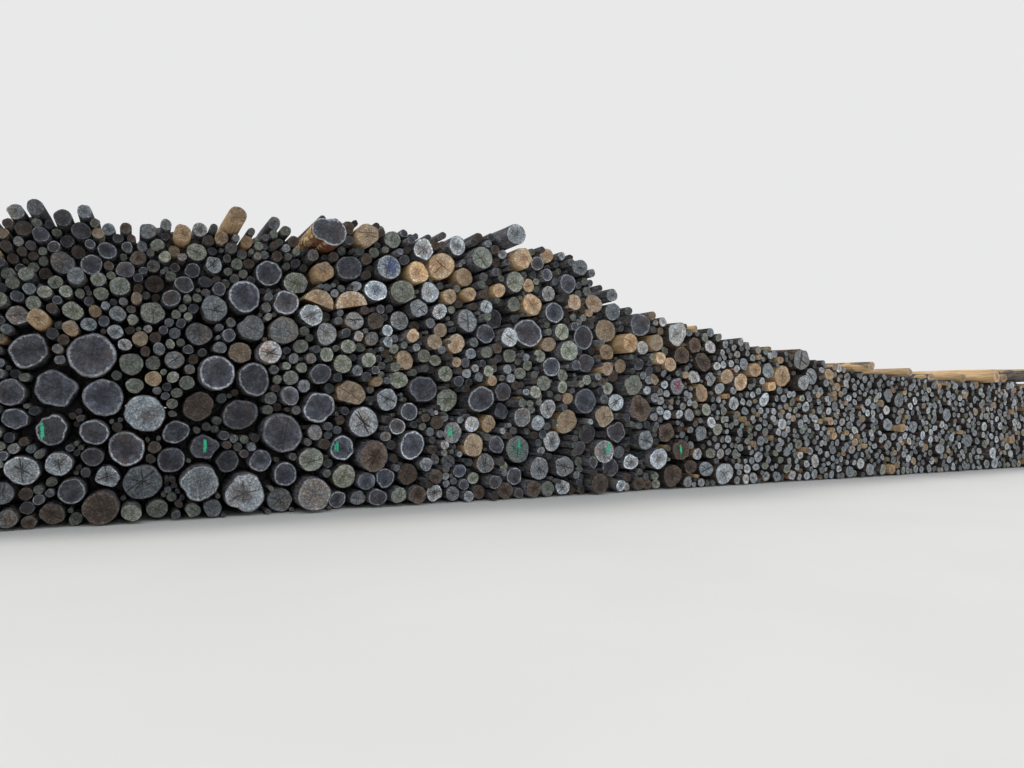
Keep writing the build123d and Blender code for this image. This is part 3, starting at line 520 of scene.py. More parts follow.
def log_tree(blank):
    """Sets a blank on every point, then shapes each by its own log's sizes."""
    tree = bpy.data.node_groups.new("Logs", "GeometryNodeTree")
    given, out = tree_sockets(
        tree, {"Geometry": "Geometry", "Rim": 0.035, "Unevenness": 0.08, "Saw Tilt": 0.1,
               "Saw Ripple": 0.006, "Bow": 0.005, "Bark": "Material",
               "Sawn End": "Material"}, {"Geometry": "Geometry"})
    size_class = attribute(tree, "size_class")
    join = tree.nodes.new("GeometryNodeJoinGeometry")
    for number, (_, sides, rings, rows, back) in enumerate(BLANKS):
        shape = put(tree, "GeometryNodeGroup",
                    {"Sides": sides, "Face Rings": rings, "Side Rows": rows,
                     "Back Rings": back, "Rim": given["Rim"]}, node_tree=blank)[0]
        chosen = put(tree, "FunctionNodeCompare",
                     {"A": size_class, "B": float(number), "Epsilon": 0.1},
                     data_type="FLOAT", operation="EQUAL")[0]
        feed(join.inputs[0], put(tree, "GeometryNodeInstanceOnPoints",
                                 {"Points": given["Geometry"], "Selection": chosen,
                                  "Instance": shape})[0])
    mesh = put(tree, "GeometryNodeRealizeInstances",
               {"Geometry": Outputs(tree, join.outputs)[0]})[0]

    ux, along, uz = split(attribute(tree, "unit", "FLOAT_VECTOR"))
    pith = attribute(tree, "pith", "FLOAT_VECTOR")
    seed, length, r_front, r_back = (
        attribute(tree, name) for name in ("seed", "long", "r_front", "r_back"))
    radius = r_front + along * (r_back - r_front)
    flat = joined(ux, 0.0, uz)
    way = flat.unit()
    down_log = joined(0.0, along * length, 0.0)

    # the outline dips in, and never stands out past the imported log
    broad = noise(way + down_log * 0.32, 0.85, 1.0, 0.5, w=seed)
    fine = noise(way * 3.1 + down_log * 1.3, 1.0, 2.0, 0.6, w=seed)
    dented = chance(seed, 3.0)["Value"] ** 2.0
    dip = ramp(broad, 0.36, 0.68) * (dented * 1.3 + 0.6) + ramp(fine, 0.3, 0.75) * 0.5
    narrow_way = ((chance(seed, 5.0)["Color"] - HALF) * ACROSS).unit()
    oval = abs(way.dot(narrow_way)) ** 2.0 * chance(seed, 9.0)["Value"]
    dip = dip + oval * 1.1
    from_middle = abs(along - 0.5)
    near_end = ramp(from_middle, 0.3, 0.42, 0.3, 1.0)
    reach = radius * (1.0 - dip * (near_end * given["Unevenness"]))

    # the saw cuts lean, and step a little
    own = chance(seed)["Color"] - HALF
    lean = given["Saw Tilt"] * (radius * flat.dot(own))
    steps = noise(joined(ux * radius, 0.0, uz * radius) + down_log, 9.0, 1.0, 0.5, w=seed)
    shift = ramp(from_middle, 0.3, 0.5) * (lean + (steps - 0.5) * given["Saw Ripple"])
    shaped = pith + joined(ux * reach, shift + along * length, uz * reach)

    # half way along, each log bends a little its own way; none goes into the ground
    bend = maths("SINE", along * math.pi) * (length * given["Bow"])
    shaped = shaped + own * (2.0, 0.0, 1.2) * bend
    shaped = vector_maths("MAXIMUM", shaped, (-FAR, -FAR, 0.0))

    mesh = stored(mesh, "log_pos", joined(ux * radius, along * length, uz * radius))
    mesh = stored(mesh, "log_facts", joined(radius, seed, dip))
    mesh = stored(mesh, "out_from_pith", flat.length())
    mesh = put(tree, "GeometryNodeSetPosition", {"Geometry": mesh, "Position": shaped})[0]
    sawn = maths("LESS_THAN", attribute(tree, "out_from_pith"), 1.0 - given["Rim"] * 0.7)
    for kind, key, selection, value in (
            ("ShadeSmooth", "Shade Smooth", True, True),
            ("ShadeSmooth", "Shade Smooth", sawn, False),
            ("Material", "Material", True, given["Bark"]),
            ("Material", "Material", sawn, given["Sawn End"])):
        mesh = put(tree, f"GeometryNodeSet{kind}",
                   {"Geometry": mesh, "Selection": selection, key: value})[0]
    feed(out["Geometry"], mesh)
    return tree


# Shader groups that several finishes share

def shader_group(*numbers, vectors=()):
    """Makes a shader group, built once, of a function that gives its outputs.

    Its name and its inputs are those of the function. An input without a default is a
    vector.
    """
    def of(formulas):
        @functools.cache
        def build():
            tree = bpy.data.node_groups.new(spoken(formulas.__name__), "ShaderNodeTree")
            inputs = {spoken(item.name): "Vector" if item.default is item.empty
                      else item.default
                      for item in inspect.signature(formulas).parameters.values()}
            outputs = dict.fromkeys(numbers, "Float") | dict.fromkeys(vectors, "Vector")
            given, out = tree_sockets(tree, inputs, outputs)
            for key, field in zip(outputs, formulas(*(given[name] for name in inputs))):
                feed(out[key], field)
            return tree
        return build
    return of


def spoken(name):
    return name.replace("_", " ").title()


@shader_group("Rings", "Out", "From Pith")
def growth_rings(place, radius=0.15, seed=1.0):
    """Bands round a pith that sits a little off the middle, and how far out a point is."""
    off = (chance(seed)["Color"] - HALF) * (radius * 0.3)
    flat = place * ACROSS
    wobble = noise(place, 7.0, 2.0, 0.5, w=seed)
    away = (flat - off * ACROSS).length() + (wobble - 0.5) * (radius * 0.35)
    bands = put(away.tree, "ShaderNodeTexNoise",
                {"W": away * 55.0 + seed, "Scale": 1.0, "Detail": 3.0, "Roughness": 0.75},
                noise_dimensions="1D")[0]
    return ramp(bands, 0.3, 0.7), flat.length() / radius, away / radius


@shader_group("Checks")
def drying_checks(place, radius=0.15, seed=1.0, count=7.0, width=0.03):
    """Dark straight splits: some run out from the pith, and one right across."""
    x, _, z = split(place)
    away = (place * ACROSS).length()
    out = away / radius
    bend = noise(place, 12.0, 2.0, 0.6, w=seed) - 0.5

    # one split in each sector, at its own spot, length and width
    turn = maths("ARCTAN2", z, x) + bend * 0.35
    spoke = (turn + math.pi) / (2.0 * math.pi) * count
    sector = maths("MODULO", maths("FLOOR", spoke), count)
    spot, long, wide = split(put(
        seed.tree, "ShaderNodeTexWhiteNoise", {"Vector": joined(sector, seed, 0.0)},
        noise_dimensions="3D")["Color"])
    aside = abs(maths("FRACT", spoke) - ramp(spot, 0.0, 1.0, 0.2, 0.8))
    aside = aside * away * (2.0 * math.pi / count)
    split_width = width * (radius * ramp(wide, 0.0, 1.0, 0.5, 1.2))
    end = ramp(long, 0.0, 1.0, 0.35, 1.15)
    thin = ramp(out, end * 0.5, end, 1.0, 0.0)
    line = maths("SUBTRACT", 1.0, aside / (split_width * thin + 0.00001), clamp=True)
    line = ramp(line, 0.0, 0.5) * ramp(thin, 0.0, 0.2)

    # the split that runs right across, on some logs
    slope = chance(seed, 83.0)["Value"] * math.pi
    offset = (chance(seed, 29.0)["Value"] - 0.5) * (radius * 0.35)
    across = x * maths("SINE", slope) - z * maths("COSINE", slope)
    across = abs(across + offset + bend * (radius * 0.12))
    narrow = width * radius * 1.2
    through = 1.0 - ramp(across, narrow * 0.3, narrow)
    through = through * (maths("GREATER_THAN", chance(seed, 61.0)["Value"], 0.42)
                         * ramp(out, 0.75, 0.95, 1.0, 0.0))
    strong = (ramp(chance(seed, 17.0)["Value"], 0.1, 0.7, 0.3, 1.0)
              * ramp(radius, 0.05, 0.12, 0.15, 1.0))
    return [maths("MULTIPLY", strong, maths("MAXIMUM", line, through), clamp=True)]


@shader_group("Blotches", "Grain", "Torn")
def weathering(place, seed=1.0):
    """Blotches of weather and fine grain on cut wood."""
    blotch = noise(place, 7.0, 4.0, 0.65, w=seed, distortion=0.4)
    grain = noise(place, 70.0, 3.0, 0.7, w=seed)
    torn = noise(place, 26.0, 4.0, 0.75, w=seed, distortion=1.2)
    return ramp(blotch, 0.33, 0.68), grain, ramp(torn, 0.44, 0.62)


@shader_group("Marks")
def saw_marks(place, seed=1.0):
    """Parallel marks of the saw, turned another way on each log."""
    x, _, z = split(place)
    turn = seed * GOLDEN_TURN
    sine, cosine = maths("SINE", turn), maths("COSINE", turn)
    stretched = joined((x * cosine + z * sine) * 60.0, (z * cosine - x * sine) * 4.0, seed)
    return [noise(stretched, 1.0, 2.0, 0.6)]


@shader_group("Shade", vectors=["Chance"])
def log_tone(seed=1.0, spread=0.25):
    """How bright a log is next to the others, and three chance values of its own."""
    own = chance(seed, 41.0)
    return (1.0 - spread) + own["Value"] ** 1.5 * (spread * 2.4), own["Color"]


@shader_group("Moss")
def moss_patches(amount=0.3):
    """Patches of moss and algae in the row's own coordinates."""
    here = coordinates(amount.tree, "Object")
    both = noise(here, 1.6, 2.0, 0.5) * 0.6 + noise(here, 16.0, 4.0, 0.7) * 0.4
    low = 0.72 - amount * 0.4
    return [ramp(both, low, low + 0.12)]


def coordinates(tree, kind):
    return put(tree, "ShaderNodeTexCoord")[kind]


def use(tree, group, **inputs):
    return put(tree, "ShaderNodeGroup", inputs, node_tree=group())


def new_material(name):
    material = bpy.data.materials.new(name)
    material.use_nodes = True
    material.node_tree.nodes.clear()
    return material, material.node_tree


def surface(material, tint, rough, height=None, depth=0.0, strength=0.9, alpha=1.0):
    """Gives a material its colour, roughness and bump."""
    tree = material.node_tree
    inputs = {"Base Color": tint, "Roughness": rough, "Alpha": alpha}
    if height is not None:
        inputs["Normal"] = put(tree, "ShaderNodeBump", {
            "Height": height, "Distance": depth, "Strength": strength})[0]
    shader = put(tree, "ShaderNodeBsdfPrincipled", inputs)[0]
    put(tree, "ShaderNodeOutputMaterial", {"Surface": shader})
    return material


def log_inputs(tree):
    """Place on the log, its radius there and its seed, from the mesh's attributes."""
    place, facts = (put(tree, "ShaderNodeAttribute", attribute_name=name)["Vector"]
                    for name in ("log_pos", "log_facts"))
    radius, seed, _ = split(facts)
    return place, radius, seed


def damp_share(tree, full):
    """How much darker painted shade between bigger logs, and the darker left of the row,
    make an end; from the given value on, it is fully dark.
    """
    damp = put(tree, "ShaderNodeAttribute", attribute_name="damp")["Fac"]
    return ramp(damp, 0.0, full, 1.0, DAMP_BRIGHTNESS)


# How each finish of end wood looks: its weathered, warm, heart and rim tints and how
# much of each shows, its drying checks, and how far its logs differ in brightness
PLAIN_END = dict(light_share=0.5, checks=5.0, rough=0.88, torn=0.42, damp_full=1.0)
# the light tints of the dark, grey and pale finishes carry the same painted blue cast of
# sky shade
END_LOOKS = {
    "dark": dict(
        warm="584b46", warm_share=0.6, lift=1.2, light="7b818e", heart="24272d",
        heart_share=0.35, check_width=0.022, check_share=0.6, rim="a9afb5", rim_share=1.3,
        ring_share=0.35, spread=0.34, moss=0.05, rough=0.85, torn=0.3),
    "grey": dict(
        warm="877a70", warm_share=0.7, lift=2.0, light="a0a9ae", heart="4c4846",
        heart_share=0.40, checks=6.0, check_width=0.05, check_share=0.9, rim="a5a9aa",
        rim_share=0.75, ring_share=0.45, spread=0.56, moss=0.06, damp_full=0.68),
    "pale": dict(
        warm="a0988f", warm_share=0.5, lift=1.46, light="bdc6cc", heart="6f6a64",
        heart_share=0.35, checks=4.0, check_width=0.06, check_share=0.95, rim="8f8a80",
        rim_share=0.35, ring_share=0.35, spread=0.48, moss=0.06, damp_full=0.58),
    "tan": dict(
        warm="b08d64", warm_share=0.5, lift=1.76, light="a9a18f", heart="806248",
        heart_share=0.42, check_width=0.04, check_share=0.6, rim="ab9f88", rim_share=0.6,
        ring_share=0.45, spread=0.3, moss=0.04, rough=0.8, torn=0.33, damp_full=0.75),
    "mossy": dict(
        warm="868678", warm_share=0.5, lift=1.76, light="929b94", heart="5b5a42",
        heart_share=0.4, check_width=0.045, check_share=0.65, rim="a5a184",
        rim_share=0.5, ring_share=0.4, spread=0.46, moss=0.26),
    "brown": dict(
        warm="5b4a3c", warm_share=0.4, lift=1.45, light="6f6054", light_share=0.4,
        heart="37291f", heart_share=0.5, checks=6.0, check_width=0.05, check_share=0.75,
        rim="7d6c5a", rim_share=0.5, ring_share=0.4, spread=0.3, moss=0.12),
}

# How the bark beside each finish of end wood differs from the plain one
PLAIN_BARK = dict(bare=0.14, least_bare=0.0, moss=0.12, spread=0.35, flakes=0.6,
                  flake="807a73", streak="5f4d39")
BARK_LOOKS = {
    "dark": {},
    "grey": dict(bare=0.22),
    "pale": dict(bare=0.30, moss=0.06, spread=0.30),
    "tan": dict(bare=0.72, least_bare=0.32, moss=0.03, spread=0.25, wood="c6a880",
                streak="937753"),
    "poles": dict(bare=0.24, moss=0.06, spread=0.55, ridge="463f3d", groove="191617",
                  flake="675d56", wood="9a7450", streak="6a4d36"),
    "mossy": dict(bare=0.16, moss=0.40),
    "brown": {},
    # the forked log's under tint is painted shade on its side away from the sun
    "forked": dict(bare=0.0, moss=0.0, spread=0.05, ridge="b08654", groove="54291a",
                   flake="f0d6a4", flakes=0.95, under="6e3018"),
}


def end_material(finish, colours):
    """Sawn end wood of one finish: weather, rings, splits, saw marks and a pale rim."""
    look = PLAIN_END | END_LOOKS[finish]
    material, tree = new_material(f"{finish}_end_wood")
    place, radius, seed = log_inputs(tree)
    on_log = dict(Place=place, Seed=seed)
    rings = use(tree, growth_rings, Radius=radius, **on_log)
    checks = use(tree, drying_checks, Radius=radius, Count=look["checks"],
                 Width=look["check_width"], **on_log)["Checks"]
    weather = use(tree, weathering, **on_log)
    marks = use(tree, saw_marks, **on_log)["Marks"]
    tone = use(tree, log_tone, Seed=seed, Spread=look["spread"])
    moss = use(tree, moss_patches, Amount=look["moss"])["Moss"]
    hearted, rimmed, warmed = split(tone["Chance"])

    # tints, one over another: weathered, warm, heart wood, rings and the rim
    wood = mix(weather["Blotches"] * look["light_share"],
               tuple(getattr(colours, f"{finish}_end")), srgb(look["light"]))
    stain = ramp(noise(place, 4.0, 2.0, 0.6, w=seed), 0.42, 0.58, 0.35, 1.5)
    warm = maths("MULTIPLY", warmed ** 1.5, stain * look["warm_share"], clamp=True)
    wood = mix(warm, wood, srgb(look["warm"]))
    heart = (ramp(rings["From Pith"], 0.25, 0.7, 1.0, 0.0)
             * ramp(radius, 0.05, 0.14, 0.35, 1.0)
             * (hearted * (2.0 * look["heart_share"])))
    wood = mix(heart, wood, srgb(look["heart"]))
    wood = mix(rings["Rings"] * look["ring_share"], wood,
               mix(1.0, wood, RING_SHADE, "MULTIPLY"))
    ragged = rings["Out"] + (weather["Torn"] - 0.5) * 0.07
    rim = ramp(weather["Blotches"], 0.0, 0.8, 0.4, 1.0) * (
        ramp(rimmed, 0.0, 1.0, 0.3, 1.2) * look["rim_share"])
    wood = mix(maths("MULTIPLY", ramp(ragged, 0.8, 0.92), rim, clamp=True), wood,
               srgb(look["rim"]))

    # shade by grain, torn fibres, painted shade between bigger logs and the darker left of
    #     # the row; thin poles are a little darker
    fine = weather["Grain"] * 0.5 + marks * 0.5
    shade = tone["Shade"] * ramp(fine, 0.3, 0.7, 0.66, 1.3)
    shade *= ramp(weather["Torn"], 0.0, 1.0, 1.0 - look["torn"], 1.0 + look["torn"])
    shade *= damp_share(tree, look["damp_full"]) * look["lift"]
    shade *= ramp(radius, 0.06, 0.12, 0.69, 1.0)
    wood = mix(moss * 0.4, wood * shade, tuple(colours.moss))
    wood = mix(checks * look["check_share"], wood, CHECK_COLOUR)
    bark_edge = ramp(rings["Out"] + weather["Grain"] * 0.05, 0.955, 0.99)
    wood = mix(bark_edge, wood, tuple(0.6 * c for c in colours.bark))
    height = fine * 0.35 + rings["Rings"] * 0.15 - checks
    return surface(material, wood, look["rough"], height, depth=0.012, strength=0.8)


def bark_material(finish, colours):
    """Fissured bark that has come off in patches, with moss on it."""
    look = PLAIN_BARK | BARK_LOOKS[finish]
    name = "pole_bark" if finish == "poles" else f"{finish}_log_bark"
    material, tree = new_material(name)

    def tint(key, plain):
        return srgb(look[key]) if key in look else tuple(plain)

    def streaked(stretch, *sizes, **more):
        return noise(place * (1.0, stretch, 1.0), *sizes, w=seed, **more)

    place, _, seed = log_inputs(tree)
    tone = use(tree, log_tone, Seed=seed, Spread=look["spread"])
    moss = use(tree, moss_patches, Amount=look["moss"])["Moss"]
    fissures = ramp(streaked(0.16, 38.0, 4.0, 0.65, distortion=0.5), 0.38, 0.6)
    skin = mix(fissures, tint("groove", colours.fissure), tint("ridge", colours.bark))
    flakes = ramp(streaked(0.6, 14.0, 3.0, 0.6), 0.46, 0.62, 0.0, look["flakes"])
    skin = mix(flakes, skin, srgb(look["flake"]))
    patches = streaked(0.3, 3.2, 3.0, 0.6)
    own = split(tone["Chance"])[2]
    bare_low = 0.76 - ramp(own ** 2.0, 0.0, 1.0, look["least_bare"], 1.0) * look["bare"]
    bare = ramp(patches, bare_low, bare_low + 0.03)
    wood = mix(ramp(streaked(0.05, 60.0, 3.0, 0.6), 0.3, 0.7), srgb(look["streak"]),
               tint("wood", colours.bare_wood))
    skin = mix(bare, skin, wood)
    # painted shade: the side that faces down and away from the sun turns dark red-brown
    if "under" in look:
        facing = coordinates(tree, "Normal").dot(UNDERSIDE) + (patches - 0.5)
        skin = mix(ramp(facing, 0.3, 0.6, 0.0, 0.85), skin, srgb(look["under"]))
    skin = mix(moss * 0.5, skin * tone["Shade"], tuple(colours.moss))
    height = fissures * (1.0 - bare * 0.85) + (1.0 - bare) * 0.6
    return surface(material, skin, 0.9, height, depth=0.02)


def split_face_material(colours):
    """The long-grained face that a splitting wedge leaves."""
    material, tree = new_material("split_face")
    here = coordinates(tree, "Object")
    grain = noise(here * (1.0, 0.04, 1.0), 70.0, 4.0, 0.6)
    blotch = noise(here * (1.0, 0.3, 1.0), 7.0, 3.0, 0.6)
    wood = mix(ramp(grain, 0.3, 0.7), srgb("6e5236"), tuple(colours.tan_end))
    wood = mix(ramp(blotch, 0.4, 0.7, 0.0, 0.6), wood, srgb("4a4038"))
    return surface(material, wood, 0.9, grain, depth=0.015)


def litter_material():
    """Painted shade for deep in the gaps: dark blue-grey speckle with brownish patches."""
    material, tree = new_material("bark_litter")
    here = coordinates(tree, "Object")
    crumbs = noise(here, 45.0, 4.0, 0.7)
    damp = noise(here, 5.0, 2.0, 0.5)
    shade = mix(ramp(crumbs, 0.35, 0.65), srgb("4a4a52"), srgb("66625f"))
    shade = mix(ramp(damp, 0.45, 0.7, 0.0, 0.5), shade, srgb("51473f"))
    return surface(material, shade, 0.95, crumbs, depth=0.02, strength=1.0)


def paint_material(name, tint):
    """Sprayed paint, thin at its edges and broken by the grain below it."""
    material, tree = new_material(f"{name}_paint")
    edge = put(tree, "ShaderNodeAttribute", attribute_name="edge")["Fac"]
    grain = noise(coordinates(tree, "Object"), 60.0, 4.0, 0.7)
    cover = ramp(edge + (grain - 0.5) * 2.2, 0.05, 0.5, 0.0, 0.92)
    shade = mix(ramp(grain, 0.35, 0.65), tuple(0.55 * c for c in tint), tuple(tint))
    return surface(material, shade, 0.7, alpha=cover)


# Building the pieces

@functools.cache
def shared_log_tree():
    return log_tree(blank_tree())


def new_mesh(name, points, faces, *materials):
    mesh = bpy.data.meshes.new(name)
    mesh.from_pydata(points, [], faces)
    for material in materials:
        mesh.materials.append(material)
    return mesh


def add_object(data):
    item = bpy.data.objects.new(data.name, data)
    bpy.context.scene.collection.objects.link(item)
    return item


def add_shell(mesh):
    """Turns the faces of a closed mesh outwards and adds it to the scene."""
    shell = bmesh.new()
    shell.from_mesh(mesh)
    bmesh.ops.recalc_face_normals(shell, faces=shell.faces)
    shell.to_mesh(mesh)
    shell.free()
    return add_object(mesh)


def store(mesh, name, rows):
    """Gives each vertex of a mesh a value or a vector of its own."""
    vectors = isinstance(rows[0], tuple)
    data = mesh.attributes.new(name, "FLOAT_VECTOR" if vectors else "FLOAT", "POINT").data
    if vectors:
        data.foreach_set("vector", list(itertools.chain.from_iterable(rows)))
    else:
        data.foreach_set("value", rows)


def share_of(value):
    return min(max(value, 0.0), 1.0)


def dampness(logs):
    """From 0 to 1: how far each log is buried between logs much bigger than it.

    Logs so buried get painted shade on their ends. The left of the row is darker too.
    """
    everyone = np.array(ALL_LOGS)
    shares = []
    for x, _, z, radius, *_ in logs:
        gap = np.hypot(everyone[:, 0] - x, everyone[:, 1] - z) - everyone[:, 2] - radius
        itself = gap <= -1.5 * radius        # its gap to itself is minus two radii
        beside = everyone[(gap < BESIDE_GAP) & ~itself, 2]
        ratio = beside.mean() / radius if len(beside) else 1.0
        buried = share_of((ratio - BURIED_FROM) / BURIED_RANGE)
        # painted shade on buried logs; a plain darkening towards the left of the row
        shares.append(max(buried, DAMP_LEFT * share_of((DAMP_FROM_X - x) / DAMP_FADE)))
    return shares


def points_object(name, logs):
    """One vertex for each log, with its sizes as attributes."""
    mesh = new_mesh(name, [log[:3] for log in logs], [])
    x, _, z, front_radii, back_radii, lengths = zip(*logs)
    store(mesh, "r_front", front_radii)
    store(mesh, "r_back", back_radii)
    store(mesh, "long", lengths)
    store(mesh, "seed", [seed_of(*place) for place in zip(x, z)])
    # painted shade between bigger logs, and darker towards the left of the row
    store(mesh, "damp", dampness(logs))
    store(mesh, "size_class", [float(sum(radius > blank[0] for blank in BLANKS[1:]))
                               for radius in front_radii])
    store(mesh, "pith", [log[:3] for log in logs])
    return add_object(mesh)


def log_piece(name, logs, bark, end, sizes, more_uneven):
    """Runs the log tree over a set of logs and keeps the result as a plain mesh."""
    piece = points_object(name, logs)
    modifier = piece.modifiers.new("Logs", "NODES")
    modifier.node_group = shared_log_tree()
    values = {"Rim": sizes.rim, "Unevenness": sizes.uneven * more_uneven,
              "Saw Tilt": sizes.tilt, "Saw Ripple": sizes.ripple, "Bow": sizes.bow,
              "Bark": bark, "Sawn End": end}
    for socket in modifier.node_group.interface.items_tree:
        if socket.name in values:
            modifier[socket.identifier] = values[socket.name]
    made = bpy.data.meshes.new_from_object(
        piece.evaluated_get(bpy.context.evaluated_depsgraph_get()))
    piece.modifiers.clear()
    old = piece.data
    piece.data = made
    made.name = name
    bpy.data.meshes.remove(old)
    for key in ("unit", "pith", "seed", "long", "r_front", "r_back", "size_class",
                "out_from_pith"):
        if key in made.attributes:
            made.attributes.remove(made.attributes[key])
    if len(made.polygons) == 0:
        raise RuntimeError(f"{name} came out empty")
    return piece


# Logs that aren't round: two are split in half, and one is forked

def ray_to_circle(start, way, centre, radius):
    """How far a ray from inside a circle runs until it leaves it."""
    x, z = start[0] - centre[0], start[1] - centre[1]
    b = x * way[0] + z * way[1]
    return -b + math.sqrt(max(b * b - (x * x + z * z - radius * radius), 0.0))


def odd_log(name, part, turns, section, materials, slot_at, seed, rows, rings):
    """A closed log whose section at each share of its length is given by a function.

    section(turn, share) gives the middle that rings are drawn round and how far out
    the edge lies that way, then the pith and the radius that the end wood follows.
    """
    front, back = part[:, 1].min(), part[:, 1].max()
    long = back - front
    loops = [(0.0, k / rings) for k in range(1, rings + 1)]
    loops += [(k / rows, 1.0) for k in range(1, rows)]
    loops += [(1.0, k / rings) for k in range(rings, 0, -1)]
    points, places, facts = [], [], []

    def add(turn, share, scale):
        (mx, mz), far, (sx, sz), radius = section(turn, share)
        way = Vector((math.cos(turn), 2.0 * share, math.sin(turn)))
        dip = 0.5 + 0.5 * mathutils_noise.noise(
            way * ODD_SCALE + Vector((seed, 0.0, 0.0)))
        fine = mathutils_noise.noise(way * ODD_FINE_SCALE + Vector((0.0, seed, 0.0)))
        far *= scale * (1.0 - ODD_DIP * dip - ODD_FINE_DIP * (fine + 1.0) * 0.5)
        x, z = mx + far * math.cos(turn), mz + far * math.sin(turn)
        y = front + share * long
        if share in (0.0, 1.0):
            steps = mathutils_noise.noise(
                Vector((x * ODD_STEP_SCALE, seed, z * ODD_STEP_SCALE)))
            y += (ODD_STEPS + ODD_STEPS * steps) * (1.0 - 2.0 * share)
        points.append((x, y, z))
        places.append((x - sx, share * long, z - sz))
        facts.append((radius, seed, dip))

    add(0.0, 0.0, 0.0)
    for (share, scale), turn in itertools.product(loops, turns):
        add(turn, share, scale)
    add(0.0, 1.0, 0.0)
    count = len(turns)
    sides = [(i, (i + 1) % count) for i in range(count)]
    last, ring = len(points) - 1, 1 + (len(loops) - 1) * count
    faces = [(0, 1 + i, 1 + j) for i, j in sides]
    slots = [1] * count
    for k in range(len(loops) - 1):
        here, on = 1 + k * count, 1 + (k + 1) * count
        cut = loops[k][0] == loops[k + 1][0]
        faces += [(here + i, on + i, on + j, here + j) for i, j in sides]
        slots += [1 if cut else slot_at(i) for i in range(count)]
    faces += [(last, ring + j, ring + i) for i, j in sides]
    slots += [1] * count
    mesh = new_mesh(name, points, faces, *materials)
    mesh.polygons.foreach_set("material_index", slots)
    mesh.polygons.foreach_set("use_smooth", [slot == 0 for slot in slots])
    store(mesh, "log_pos", places)
    store(mesh, "log_facts", facts)
    return add_shell(mesh)


def build_split_logs(context):
    """The two logs that were split in half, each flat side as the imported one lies."""
    colours = context.scene.log_stack_colours
    materials = (bark_material("tan", colours), end_material("tan", colours),
                 split_face_material(colours))
    for number, part in enumerate(solids_of("split_logs")):
        ring = end_points(part, part[:, 1].min())[:, (0, 2)]
        apart = np.linalg.norm(ring[:, None] - ring[None], axis=2)
        first, second = np.unravel_index(apart.argmax(), apart.shape)
        a, b = sorted((tuple(ring[first]), tuple(ring[second])))
        middle = ((a[0] + b[0]) / 2.0, (a[1] + b[1]) / 2.0)
        radius = apart.max() / 2.0
        lean = math.atan2(b[1] - a[1], b[0] - a[0])
        lift = SPLIT_CENTRE * radius
        centre = (middle[0] - lift * math.sin(lean), middle[1] + lift * math.cos(lean))
        pith = (middle[0] - SPLIT_PITH * radius * math.sin(lean),
                middle[1] + SPLIT_PITH * radius)
        corner = math.atan2(-lift, radius)
        flat = SPLIT_FLAT_CORNERS
        on_arc = SPLIT_CORNERS - flat
        turns = [math.pi - corner + (2.0 * corner + math.pi) * k / flat + lean
                 for k in range(flat)]
        turns += [corner + (math.pi - 2.0 * corner) * k / on_arc + lean
                  for k in range(on_arc)]

        def section(turn, share):
            way = math.cos(turn - lean), math.sin(turn - lean)
            far = ray_to_circle((0.0, lift), way, (0.0, 0.0), radius)
            if way[1] < 0.0:
                far = min(far, -lift / way[1])
            return centre, far, pith, radius

        piece = odd_log(f"split_log_{number + 1}", part, turns, section, materials,
                        lambda i: 2 if i < flat else 0,
                        seed=11.0 + 23.0 * number, rows=14, rings=7)
        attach(piece, "root")
        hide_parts("split_logs")


def build_forked_log(context):
    """The forked log on top: two stems that close up towards the back."""
    colours = context.scene.log_stack_colours
    part = solids_of("forked_log")[0]
    sections = []
    for y, (big, small, apart) in (
            (part[:, 1].min(), FORK_RADII),
            (part[:, 1].max(), (*(r - FORK_LOSS for r in FORK_RADII[:2]), FORK_CLOSE))):
        ring = end_points(part, y)[:, (0, 2)]
        high, low = ring.max(axis=0), ring.min(axis=0)
        mx, mz = high[0] - big, low[1] + big
        sx = low[0] + small
        sz = mz + math.sqrt(max(apart ** 2 - (sx - mx) ** 2, 0.0))
        sections.append(np.array((mx, mz, big, sx, sz, small)))

    def section(turn, share):
        mx, mz, big, sx, sz, small = sections[0] * (1.0 - share) + sections[1] * share
        centre = (mx + sx) / 2.0, (mz + sz) / 2.0
        way = math.cos(turn), math.sin(turn)
        far_main = ray_to_circle(centre, way, (mx, mz), big)
        far_second = ray_to_circle(centre, way, (sx, sz), small)
        if far_main >= far_second:
            return centre, far_main, (mx, mz), big
        return centre, far_second, (sx, sz), small

    turns = [2.0 * math.pi * k / FORK_CORNERS for k in range(FORK_CORNERS)]
    piece = odd_log("forked_log_dressed", part, turns, section,
                    (bark_material("forked", colours), end_material("dark", colours)),
                    lambda i: 0, seed=57.0, rows=18, rings=10)
    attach(piece, "root")
    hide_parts("forked_log")


# Painted shade: dark lumps that lie deep in the gaps between the logs

def gap_ways():
    """The directions from the middle of a gap to the corners of its lump."""
    turns = np.arange(GAP_SIDES) * 2.0 * math.pi / GAP_SIDES
    return np.stack([np.cos(turns), np.sin(turns)], axis=1)


def gap_middles(logs):
    """Points of a grid that lie further from every log than the points beside them."""
    grid_x = np.arange(logs[:, 0].min(), logs[:, 0].max(), GAP_STEP)
    grid_z = np.arange(0.02, logs[:, 1].max(), GAP_STEP)
    clear = np.full((len(grid_x), len(grid_z)), OPEN)
    for x, z, radius in ALL_LOGS:
        reach = radius + GAP_SEARCH
        columns, rows = (
            slice(max(int((at - reach - grid[0]) / GAP_STEP), 0),
                  int((at + reach - grid[0]) / GAP_STEP) + 1)
            for at, grid in ((x, grid_x), (z, grid_z)))
        part = clear[columns, rows]
        away = np.hypot(grid_x[columns, None] - x, grid_z[None, rows] - z) - radius
        np.minimum(part, away, out=part)
    inner = clear[1:-1, 1:-1]
    peak = (inner > GAP_CLEAR[0]) & (inner < GAP_CLEAR[1])
    for i, k in itertools.product(range(3), range(3)):
        peak &= inner >= clear[i:clear.shape[0] - 2 + i, k:clear.shape[1] - 2 + k]
    return [(grid_x[i + 1], grid_z[k + 1]) for i, k in np.argwhere(peak)]


